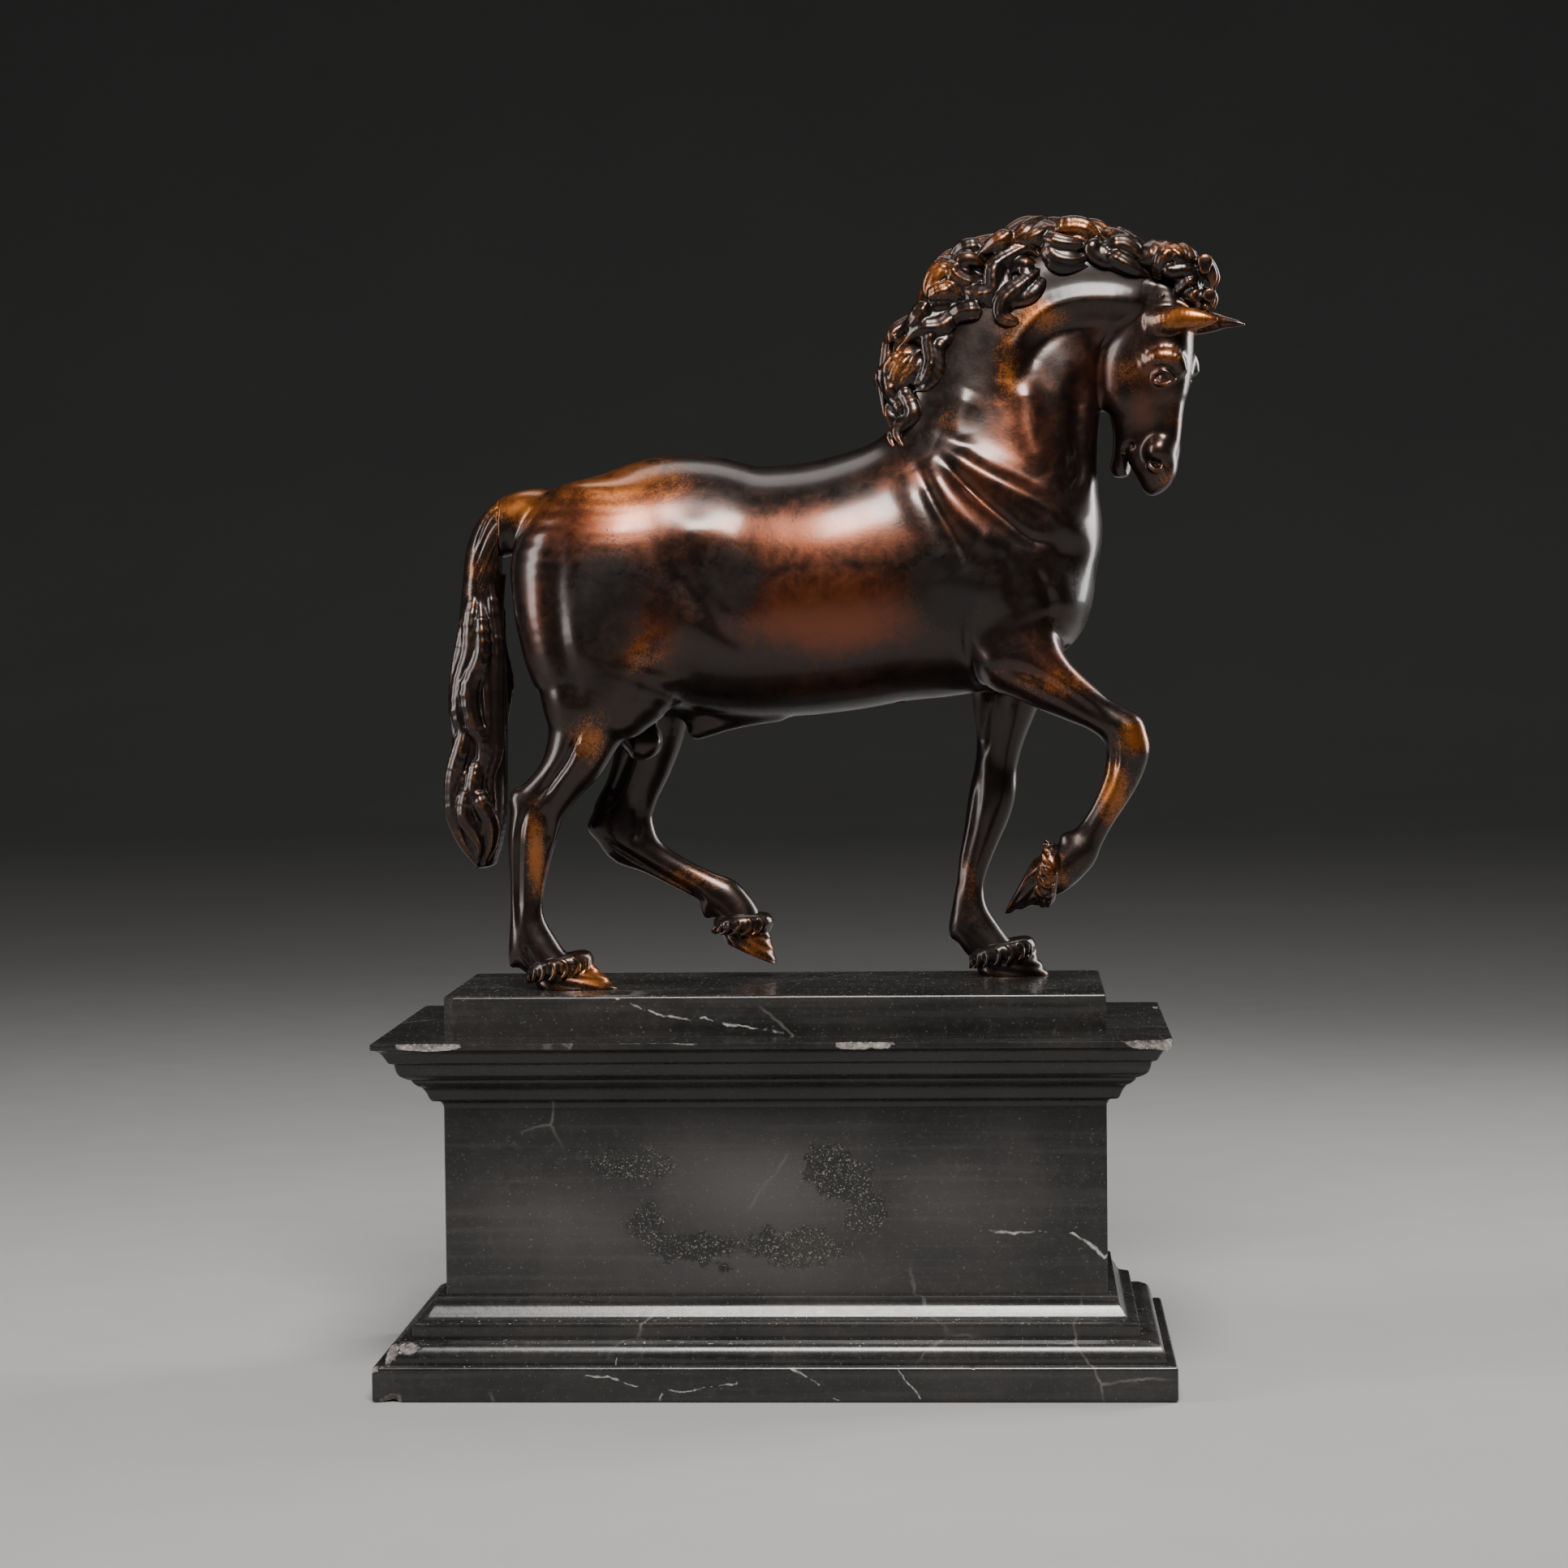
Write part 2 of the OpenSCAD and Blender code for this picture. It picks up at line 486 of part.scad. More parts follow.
module cornice_bed() {
  color("SlateGray") difference() {
    translate([0, 0, z_bed]) moulded_block(BED);
    tie_hole();
    dowel_sockets(CAP_JOINT);
    dowel_sockets(BED_JOINT);
  }
}

module die_block() {
  color("DarkSlateGray") difference() {
    translate([-die_length / 2, -die_depth / 2, z_die]) cube([die_length, die_depth, die_height]);
    tie_hole();
    dowel_sockets(BED_JOINT);
    dowel_sockets(DIE_JOINT);
  }
}

module base_moulding() {
  color("SlateGray") difference() {
    translate([0, 0, z_base]) moulded_block(BASE);
    tie_hole();
    dowel_sockets(DIE_JOINT);
  }
}

module base_ovolo() {
  color("DarkSlateGray") difference() {
    translate([0, 0, z_ovolo]) moulded_block(OVOLO);
    tie_hole();
  }
}

module bottom_slab() {
  color("SlateGray") difference() {
    moulded_block(SLAB);
    translate([0, 0, -1]) cylinder(d = tie_pocket_d, h = slab_height + 2);
    felt_shape(felt_thickness + 1, -1, 0.3);
  }
}

module felt_shape(height, z, grow) {
  length = die_length + 2 * slab_overhang - 2 * felt_margin + 2 * grow;
  depth = die_depth + 2 * slab_overhang - 2 * felt_margin + 2 * grow;
  translate([-length / 2, -depth / 2, z]) cube([length, depth, height]);
}

module felt_liner() {
  color("DarkGreen") felt_shape(felt_thickness, 0, 0);
}

module tie_rod() {
  color("DimGray") translate([0, 0, felt_thickness + 0.6])
    cylinder(d = tie_rod_d, h = z_plinth - felt_thickness - 1.2);
}

module tie_washers() {
  color("Silver") for (z = [z_ovolo - tie_washer_h, z_plinth - tie_pocket])
    translate([0, 0, z]) difference() {
      cylinder(d = tie_washer_d, h = tie_washer_h);
      translate([0, 0, -1]) cylinder(d = tie_rod_d + 2 * fit, h = tie_washer_h + 2);
    }
}

module tie_nuts() {
  color("Gray")
    for (z = [z_ovolo - tie_washer_h - tie_nut_h, z_plinth - tie_pocket + tie_washer_h])
      translate([0, 0, z]) difference() {
        cylinder(d = tie_nut_d, h = tie_nut_h, $fn = 6);
        translate([0, 0, -1]) cylinder(d = tie_rod_d, h = tie_nut_h + 2);
      }
}

module joint_dowels() {
  color("DimGray") for (joint = JOINTS, side = [-1, 1])
    translate([side * joint[1], 0, joint[0] - dowel_length / 2]) cylinder(d = dowel_d, h = dowel_length);
}

horse_casting();
tail_casting();
tail_pin();
core_plugs();
fore_stud();
hind_stud();
stud_washers();
stud_nuts();
plinth_block();
cornice_cap();
cornice_bed();
die_block();
base_moulding();
base_ovolo();
bottom_slab();
tie_rod();
tie_washers();
tie_nuts();
joint_dowels();
felt_liner();
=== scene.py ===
"""Looks for the bronze pacing horse: sculpted bronze, wavy hair, curled hooves and a chipped black marble pedestal.

The bronze is modelled like clay. A Clay is a block of signed distances: shapes are merged into it, lines are
pressed into it, and its surface is then skinned with quads. Sculpting is in millimetres, with x along the horse,
y across it from its mid plane, and z above the plinth that the hooves stand on.
"""

import json
import math

import bpy
import numpy as np
from mathutils import Matrix, Vector

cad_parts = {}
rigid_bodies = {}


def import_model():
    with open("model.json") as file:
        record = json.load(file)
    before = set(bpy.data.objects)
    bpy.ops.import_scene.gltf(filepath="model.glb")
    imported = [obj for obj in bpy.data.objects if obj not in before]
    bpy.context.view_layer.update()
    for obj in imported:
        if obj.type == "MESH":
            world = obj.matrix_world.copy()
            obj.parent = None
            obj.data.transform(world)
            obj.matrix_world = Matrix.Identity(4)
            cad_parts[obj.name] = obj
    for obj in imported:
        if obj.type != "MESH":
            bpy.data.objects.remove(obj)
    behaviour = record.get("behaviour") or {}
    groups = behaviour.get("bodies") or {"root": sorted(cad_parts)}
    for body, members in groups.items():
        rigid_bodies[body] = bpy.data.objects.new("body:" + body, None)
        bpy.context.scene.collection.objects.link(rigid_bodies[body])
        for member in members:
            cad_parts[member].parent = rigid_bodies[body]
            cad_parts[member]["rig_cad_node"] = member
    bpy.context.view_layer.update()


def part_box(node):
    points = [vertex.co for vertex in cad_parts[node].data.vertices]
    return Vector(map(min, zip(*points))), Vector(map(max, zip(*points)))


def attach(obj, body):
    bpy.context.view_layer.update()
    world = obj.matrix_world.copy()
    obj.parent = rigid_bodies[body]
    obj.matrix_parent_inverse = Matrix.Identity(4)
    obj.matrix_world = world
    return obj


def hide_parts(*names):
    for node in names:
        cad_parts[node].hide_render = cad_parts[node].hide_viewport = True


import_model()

PLINTH_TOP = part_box("plinth_block")[1].z * 1000
MID_Y = (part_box("tail_pin")[0].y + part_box("tail_pin")[1].y) * 500
SEAM_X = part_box("horse_casting")[0].x * 1000
NEAR, FAR = -18.0, 20.0  # mid planes of the near and the far legs
SEAM = 0.06  # half the gap between the tail and its root
EMPTY = 30.0  # distance in clay that holds nothing yet
rng = np.random.default_rng(7)


# ---------------------------------------------------------------- clay

def smooth(rows, fine):
    """Points on a smooth curve through the rows, fine steps to each row."""
    rows = np.asarray(rows, float)
    if fine < 2 or len(rows) < 3:
        return rows
    padded = np.vstack([2 * rows[0] - rows[1], rows, 2 * rows[-1] - rows[-2]])
    a, b, c, d = padded[:-3], padded[1:-2], padded[2:-1], padded[3:]
    steps = []
    for t in np.arange(fine) / fine:
        steps.append(0.5 * (2 * b + (c - a) * t + (2 * a - 5 * b + 4 * c - d) * t ** 2
                            + (3 * b - a - 3 * c + d) * t ** 3))
    curve = np.vstack([np.stack(steps, 1).reshape(-1, rows.shape[1]), rows[-1]])
    if rows.shape[1] > 3:
        curve[:, 3:] = np.maximum(curve[:, 3:], 0.25)
    return curve


def ellipse_distance(flat, y2, flat1, a, b, power=2.0):
    """Distance to an ellipse, or to a squarer shape where the power is above 2."""
    if power > 2:
        k = ((flat / (a * a)) ** (power / 2) + (y2 / (b * b)) ** (power / 2)) ** (1 / power)
        return (k - 1) * np.minimum(a, b)
    k0 = np.sqrt(flat / (a * a) + y2 / (b * b))
    k1 = np.sqrt(flat1 / a ** 4 + y2 / b ** 4)
    return (k0 - 1) * (k0 + 1e-3) / (k1 + 1e-3 / b)


class Clay:
    """A block of signed distances, in millimetres, that shapes are merged into and pressed out of."""

    def __init__(self, low, high, step):
        self.low = np.asarray(low, float)
        self.step = step
        self.size = np.ceil((np.asarray(high, float) - self.low) / step).astype(int) + 1
        self.d = np.full(self.size, EMPTY, np.float32)

    def window(self, low, high):
        """The part of the block between two corners: slices, and coordinates that broadcast over it."""
        a = np.clip(np.floor((np.asarray(low) - self.low) / self.step).astype(int), 0, self.size)
        b = np.clip(np.ceil((np.asarray(high) - self.low) / self.step).astype(int) + 1, 0, self.size)
        if (b <= a).any():
            return None, None
        axes = [(self.low[i] + self.step * np.arange(a[i], b[i])).astype(np.float32) for i in range(3)]
        return tuple(slice(a[i], b[i]) for i in range(3)), np.ix_(*axes)

    def soften(self, rounds):
        """Rounds off creases finer than a couple of steps."""
        d = np.clip(self.d, -6, 6)
        for _ in range(rounds):
            for axis in range(3):
                a, b, c = [slice(None)] * 3, [slice(None)] * 3, [slice(None)] * 3
                a[axis], b[axis], c[axis] = slice(0, -2), slice(1, -1), slice(2, None)
                d[tuple(b)] = 0.25 * (d[tuple(a)] + d[tuple(c)]) + 0.5 * d[tuple(b)]
        self.d = d

    def merge(self, place, shape, blend, press=False):
        """Adds a shape, with a fillet of about the blend's size, or presses it out."""
        old = self.d[place]
        k = max(blend, 1e-3)
        if press:
            near = np.maximum(k - np.abs(old + shape), 0) / k
            self.d[place] = np.maximum(old, -shape) + near * near * (k * 0.25)
        else:
            near = np.maximum(k - np.abs(old - shape), 0) / k
            self.d[place] = np.minimum(old, shape) - near * near * (k * 0.25)

    def tube(self, rows, blend, fine=4, ridges=0, depth=0.0, press=False, cap=2.5, power=2.0):
        """A tube through rows of x, y, z, half depth in side view and half width across."""
        chain = smooth(rows, fine)
        margin = blend + 1.5
        widest = chain[:, 3:].max(1)
        beside = np.maximum(np.append(widest[1:], 0), np.append(0, widest[:-1]))
        reach = (np.maximum(beside, widest) + margin)[:, None]
        place, _ = self.window((chain[:, :3] - reach).min(0), (chain[:, :3] + reach).max(0))
        if place is None:
            return
        shape = np.full([s.stop - s.start for s in place], EMPTY, np.float32)
        last = len(chain) - 2
        for k, (p, q) in enumerate(zip(chain[:-1], chain[1:])):
            near = max(p[3], p[4], q[3], q[4]) + margin
            part, at = self.window(np.minimum(p, q)[:3] - near, np.maximum(p, q)[:3] + near)
            if part is None:
                continue
            x, y, z = at
            run = q[:3] - p[:3]
            length = max(float(run @ run), 1e-9)
            raw = ((x - p[0]) * run[0] + (y - p[1]) * run[1] + (z - p[2]) * run[2]) / length
            t = np.clip(raw, 0 if k == 0 else -0.6, 1 if k == last else 1.6)
            past = (raw - t) ** 2 * length
            dx, dy, dz = x - p[0] - t * run[0], y - p[1] - t * run[1], z - p[2] - t * run[2]
            a, b = np.maximum(p[3] + t * (q[3] - p[3]), 0.2), np.maximum(p[4] + t * (q[4] - p[4]), 0.2)
            flat = dx * dx + dz * dz
            d = ellipse_distance(flat + (cap ** 2 - 1) * past, dy * dy, flat + (cap ** 4 - 1) * past, a, b, power)
            if ridges:
                side = (-run[2] * dx + run[0] * dz) / max(math.hypot(run[0], run[2]), 1e-6)
                d = d + depth * (1 - np.abs(np.cos(np.clip(side / a, -1, 1) * math.pi * ridges / 2)))
            inner = tuple(slice(s.start - w.start, s.stop - w.start) for s, w in zip(part, place))
            shape[inner] = np.minimum(shape[inner], d)
        self.merge(place, shape, blend, press)

    def blob(self, at, radii, blend, turn=0.0, press=False):
        """An ellipsoid, turned about the y axis by degrees."""
        at, radii = np.asarray(at, float), np.asarray(radii, float)
        reach = radii.max() + blend + 1.5
        place, axes = self.window(at - reach, at + reach)
        if place is None:
            return
        x, y, z = axes[0] - at[0], axes[1] - at[1], axes[2] - at[2]
        c, s = math.cos(math.radians(turn)), math.sin(math.radians(turn))
        u, w = x * c + z * s, z * c - x * s
        k0 = np.sqrt((u / radii[0]) ** 2 + (y / radii[1]) ** 2 + (w / radii[2]) ** 2)
        k1 = np.sqrt((u / radii[0] ** 2) ** 2 + (y / radii[1] ** 2) ** 2 + (w / radii[2] ** 2) ** 2)
        self.merge(place, (k0 - 1) * (k0 + 1e-3) / (k1 + 1e-3 / radii.min()), blend, press)

    def line(self, points, width, depth, side=0):
        """Presses a soft groove along a line drawn in side view, x and z, or raises a ridge where depth is negative.
        side -1 marks only the near side, 1 only the far one and 0 both."""
        curve = smooth(points, 4)
        reach = 3 * width
        place, at = self.window([curve[:, 0].min() - reach, -60 if side <= 0 else 0, curve[:, 1].min() - reach],
                                [curve[:, 0].max() + reach, 60 if side >= 0 else 0, curve[:, 1].max() + reach])
        if place is None:
            return
        x, y, z = at
        best = np.full((x.shape[0], 1, z.shape[2]), 1e6, np.float32)
        along = np.zeros_like(best)
        for i, (p, q) in enumerate(zip(curve[:-1], curve[1:])):
            run = q - p
            t = np.clip(((x - p[0]) * run[0] + (z - p[1]) * run[1]) / max(run @ run, 1e-9), 0, 1)
            d = (x - p[0] - t * run[0]) ** 2 + (z - p[1] - t * run[1]) ** 2
            along = np.where(d < best, (i + t) / (len(curve) - 1), along)
            best = np.minimum(best, d)
        fade = np.clip(along * 5, 0, 1) * np.clip((1 - along) * 5, 0, 1)
        self.d[place] += (depth * (0.25 + 0.75 * fade) * np.exp(-best / width ** 2)).astype(np.float32)

    def dent(self, at, radii, depth, side=0):
        """Presses a wide soft hollow centred at x, z in side view, or raises a swelling where depth is negative."""
        place, axes = self.window([at[0] - 2.5 * radii[0], -60 if side <= 0 else 0, at[1] - 2.5 * radii[1]],
                                  [at[0] + 2.5 * radii[0], 60 if side >= 0 else 0, at[1] + 2.5 * radii[1]])
        if place is not None:
            x, y, z = axes
            fall = np.exp(-((x - at[0]) / radii[0]) ** 2 - ((z - at[1]) / radii[1]) ** 2)
            self.d[place] += (depth * fall).astype(np.float32)

    def sample(self, points):
        """Distances at points, between the block's own samples."""
        g = (points - self.low) / self.step
        i = np.clip(np.floor(g).astype(np.int64), 0, self.size - 2)
        f = np.clip(g - i, 0, 1)
        flat = self.d.ravel()
        sy, sx = self.size[2], self.size[1] * self.size[2]
        at = i[:, 0] * sx + i[:, 1] * sy + i[:, 2]
        fx, fy, fz = f.T
        out = 0
        for c in range(8):
            cx, cy, cz = c & 1, c >> 1 & 1, c >> 2
            w = (fx if cx else 1 - fx) * (fy if cy else 1 - fy) * (fz if cz else 1 - fz)
            out = out + w * flat[at + cx * sx + cy * sy + cz]
        return out

    def slope(self, points):
        """The direction in which distance grows, at points."""
        h = self.step * 0.6
        out = np.empty_like(points)
        for i in range(3):
            shift = np.zeros(3)
            shift[i] = h
            out[:, i] = (self.sample(points + shift) - self.sample(points - shift)) / (2 * h)
        return out

    def height(self, x, z, side, least=3.0):
        """How far from the mid plane the surface is, on one side, at x and z."""
        reach = np.arange(34, 0, -0.4)
        points = np.column_stack([np.full_like(reach, x), side * reach, np.full_like(reach, z)])
        inside = self.sample(points) < 0
        return side * max(reach[np.argmax(inside)] if inside.any() else 0, least)

    def skin(self):
        """The surface as points and quads, laid on the zero distance."""
        for face in (0, -1):
            self.d[face], self.d[:, face], self.d[:, :, face] = 1, 1, 1
        inside = self.d < 0
        n = self.size - 1
        count = np.zeros(n, np.uint8)
        for c in range(8):
            o = (c & 1, c >> 1 & 1, c >> 2)
            count += inside[o[0]:o[0] + n[0], o[1]:o[1] + n[1], o[2]:o[2] + n[2]]
        cells = np.flatnonzero((count > 0) & (count < 8))
        at = np.column_stack(np.unravel_index(cells, count.shape))
        del count
        total, hits = np.zeros((len(at), 3)), np.zeros(len(at))
        for axis in range(3):
            for c in range(4):
                o = np.zeros(3, int)
                o[(axis + 1) % 3], o[(axis + 2) % 3] = c & 1, c >> 1
                step = np.zeros(3, int)
                step[axis] = 1
                a = self.d[tuple((at + o).T)].astype(float)
                b = self.d[tuple((at + o + step).T)].astype(float)
                cross = (a < 0) != (b < 0)
                t = np.where(cross, a / np.where(a == b, 1, a - b), 0)
                total += np.where(cross[:, None], o + step * t[:, None], 0)
                hits += cross
        points = self.low + (at + total / hits[:, None]) * self.step
        quads = []
        for axis in range(3):
            u, v = (axis + 1) % 3, (axis + 2) % 3
            lower = [slice(1, -1)] * 3
            upper = [slice(1, -1)] * 3
            lower[axis], upper[axis] = slice(0, -1), slice(1, None)
            a, b = inside[tuple(lower)], inside[tuple(upper)]
            spots = np.argwhere(a != b)
            spots[:, u] += 1
            spots[:, v] += 1
            ring = []
            for du, dv in ((-1, -1), (0, -1), (0, 0), (-1, 0)):
                cell = spots.copy()
                cell[:, u] += du
                cell[:, v] += dv
                ring.append(np.searchsorted(cells, np.ravel_multi_index(tuple(cell.T), tuple(n))))
            quad = np.column_stack(ring)
            quads.append(np.where(inside[tuple(spots.T)][:, None], quad, quad[:, ::-1]))
        quads = np.vstack(quads)
        for _ in range(2):
            points = 0.5 * points + 0.5 * around(points, quads)
            for _ in range(2):
                g = self.slope(points)
                move = self.sample(points)[:, None] * g / np.maximum((g * g).sum(1, keepdims=True), 0.05)
                points = points - np.clip(move, -0.5 * self.step, 0.5 * self.step)
        return points, quads


def around(points, quads):
    """Each point's average neighbour across the quads' sides."""
    total = np.zeros_like(points)
    count = np.bincount(quads.ravel(), minlength=len(points)) * 2.0
    for i in range(4):
        for j in ((i + 1) % 4, (i + 3) % 4):
            for axis in range(3):
                total[:, axis] += np.bincount(quads[:, i], points[quads[:, j], axis], len(points))
    return total / np.maximum(count, 1)[:, None]


def swell(points, quads, normals, rounds):
    """How far each point stands out of its surroundings: above 0 on ridges and below 0 in grooves."""
    flat = points
    for _ in range(rounds):
        flat = around(flat, quads)
    return ((points - flat) * normals).sum(1)


# ---------------------------------------------------------------- the horse

TRUNK = [
    (-74, 0, 140, 14, 15), (-70, 0, 138, 20, 20.5), (-62, 0, 135, 26, 25), (-50, 0, 132, 34, 28.5),
    (-38, 0, 129.5, 38.8, 29.5), (-25, 0, 127, 40.5, 29.5), (-10, 0, 124.2, 39.9, 30.5), (5, 0, 124.3, 39.8, 32),
    (20, 0, 126, 40, 32.5), (35, 0, 129, 40.5, 31), (50, 0, 131, 41, 28.5), (64, 0, 132, 40, 26.5),
    (76, 0, 131, 36.5, 25), (84, 0, 129, 31, 22), (90, 0, 127, 23, 18)]
NECK = [
    (58, 0, 128, 34, 24), (64, 0, 146, 35, 23), (68, 0, 162, 33.5, 20), (70.5, 0, 176, 32, 17),
    (74, -0.5, 189, 30, 14.5), (80, -1, 201, 26.5, 12.5), (89, -1.5, 211, 21.5, 11), (99, -2, 216, 17.5, 10.5),
    (109, -3, 217, 14, 9.5), (115, -4, 214, 11, 8.5)]
NEAR_HIND = [
    (-54, -9, 152, 16, 12), (-56, -12, 136, 25, 16), (-56, -14, 123, 26, 16.5), (-54.5, -15, 110, 25, 16),
    (-52.8, -16, 99, 23.2, 14.4), (-57, -17, 89, 18, 12), (-58.6, -17.2, 84.5, 14.6, 10.5),
    (-59.8, -17.5, 80, 11.8, 9), (-63, -18, 72, 9.6, 7.2), (-68.2, -18, 64.5, 8.0, 5.7), (-74, -18, 57, 8.3, 5.6),
    (-76.3, -18, 48.5, 7.8, 5.5), (-77.5, -18, 40, 6.6, 4.4),
    (-78.3, -18, 31, 5.4, 3.7), (-78.5, -18, 23, 5.3, 3.8), (-77.6, -18, 17, 6.6, 4.7), (-75.6, -18, 12, 7.4, 5.4),
    (-72, -18, 8.2, 6.6, 5.6), (-68.5, -18, 5.5, 6, 5.6)]
FAR_HIND = [
    (-54, 9, 152, 16, 12), (-56, 12, 136, 25, 16), (-55, 14, 123, 25.5, 16.5), (-51, 15, 111, 25, 16),
    (-46, 16, 99, 20.5, 14), (-43, 17.5, 88, 15, 11), (-42.5, 18.5, 79, 11.3, 9), (-45, 19.5, 69, 9.6, 7.2),
    (-48.6, 20, 60, 8.8, 5.9), (-51.5, 20, 51.5, 9.8, 5.8), (-49, 20, 44.5, 8.9, 5.5), (-42, 20, 38.8, 5.8, 4.5),
    (-33, 20, 33.5, 5.1, 3.7), (-25, 20, 29.3, 5.3, 3.8), (-19.5, 20, 26, 6.4, 4.8), (-15.5, 20, 21.8, 6.5, 5.3),
    (-12.8, 20, 18, 6.2, 5.6)]
FAR_FORE = [
    (76, 12, 112, 15, 11), (74, 15, 99, 13, 10.5), (72, 18, 87, 10.4, 8.4), (70.5, 19.5, 76.5, 7.8, 7),
    (69.2, 20, 68, 6.9, 6.1), (68, 20, 59.5, 7.5, 6.2), (66.4, 20, 52.5, 7.1, 5.8), (64.2, 20, 45, 6, 4.7),
    (61.8, 20, 37, 5.1, 3.9), (60.4, 20, 30, 4.6, 3.6), (60, 20, 24, 5.2, 4), (60.6, 20, 18, 6.6, 4.8),
    (63.2, 20, 12.8, 7.2, 5.3), (67, 20, 8.6, 6.6, 5.6), (70, 20, 6, 6, 5.6)]
NEAR_FORE = [
    (72, -12, 112, 15, 11), (76, -15, 104, 14, 10.5), (81.5, -16.8, 98.5, 11, 9.2), (88, -17.8, 93.2, 8.6, 7.8),
    (95, -18, 88.6, 6.9, 6.5), (101.5, -18, 84.6, 5.8, 5.7), (107.5, -18, 80.2, 6.4, 6),
    (109.8, -18, 74.5, 6.7, 5.9), (109, -18, 68, 6.1, 5.2), (106, -18, 60.5, 5.1, 4.2), (102, -18, 53.5, 4.5, 3.7),
    (98, -18, 47, 4.8, 3.8), (94.8, -18, 42.2, 6, 4.6), (91, -18, 38.3, 6.4, 5), (87.5, -18, 35.4, 6.4, 5.4),
    (84.6, -18, 33.5, 6.2, 5.6)]
DOCK = [
    (-56, 0, 138, 10, 10), (-66, 0, 144, 10, 9), (-73, 0, 147.4, 9.6, 8), (-79, 0, 148.2, 8.8, 7.2),
    (-85, 0, 146.4, 8.4, 7), (-90.5, 0, 142.6, 8.3, 7.2)]


def model_body(clay):
    """Trunk, neck, legs and root of the tail, before the muscles are drawn."""
    clay.tube(TRUNK, 2, 6)
    clay.tube(NECK, 8, 6, power=2.5)
    clay.blob((80, 0, 120), (18.5, 21, 19), 6)
    clay.soften(6)
    for side in (-1, 1):
        clay.tube([(52, side * 10, 162, 6, 5.5), (60, side * 11.5, 150, 13, 9), (70, side * 13, 134, 16, 11),
                   (77, side * 13.5, 119, 15, 11), (79, side * 13, 108, 9, 8)], 6, 3)
        clay.blob((87, side * 8.5, 122), (9, 8.5, 13), 5, -8)
    for leg in (NEAR_HIND, FAR_HIND):
        clay.tube(leg, 6, 4)
    for leg in (FAR_FORE, NEAR_FORE):
        clay.tube(leg, 5, 4)
    clay.tube(DOCK, 5, 4)
    clay.tube([(0, 0, 89, 6, 5), (-14, 0, 87, 6.5, 4.8), (-22, 0, 82.5, 4.4, 3.6), (-27, 0, 79.5, 2.8, 2.6)], 3, 4)
    clay.tube([(-22, 0, 84, 4, 4), (-34, 0, 94, 8, 6)], 3)
    for side in (-1, 1):
        clay.blob((-43, side * 3.4, 77), (6.4, 4.8, 6.2), 1.6)
    clay.tube([(-43, 0, 82, 5, 6), (-42, 0, 98, 6, 7)], 3)
    # Fetlock spurs, hock points and the small bones of the knees.
    clay.tube([(-79, NEAR, 18, 3.4, 3), (-81.6, NEAR, 12, 2.8, 2.7), (-83.6, NEAR, 6.6, 1.1, 1.3)], 1.6)
    clay.tube([(58, FAR, 18.5, 3.2, 3), (55.6, FAR, 14.8, 2.3, 2.5), (54.4, FAR, 11.8, 1.1, 1.3)], 1.6)
    clay.tube([(-23, FAR, 26.5, 3.2, 3), (-24.4, FAR, 21.5, 2.4, 2.5), (-24.2, FAR, 18.8, 1.1, 1.3)], 1.6)
    clay.tube([(94.5, NEAR, 44.8, 3, 3), (91, NEAR, 46.4, 2, 2.2), (88.8, NEAR, 46, 1.0, 1.2)], 1.6)
    clay.blob((-80, NEAR, 59), (3.4, 3.4, 4.4), 2.5, 30)
    clay.blob((-59.6, FAR, 48.8), (3.6, 3.2, 3.2), 2.5)
    clay.blob((111.4, NEAR, 81.2), (3.2, 4.8, 3.0), 2.5)
    clay.blob((112.8, NEAR, 74), (2.9, 4.5, 5.0), 2.5)
    clay.soften(5)


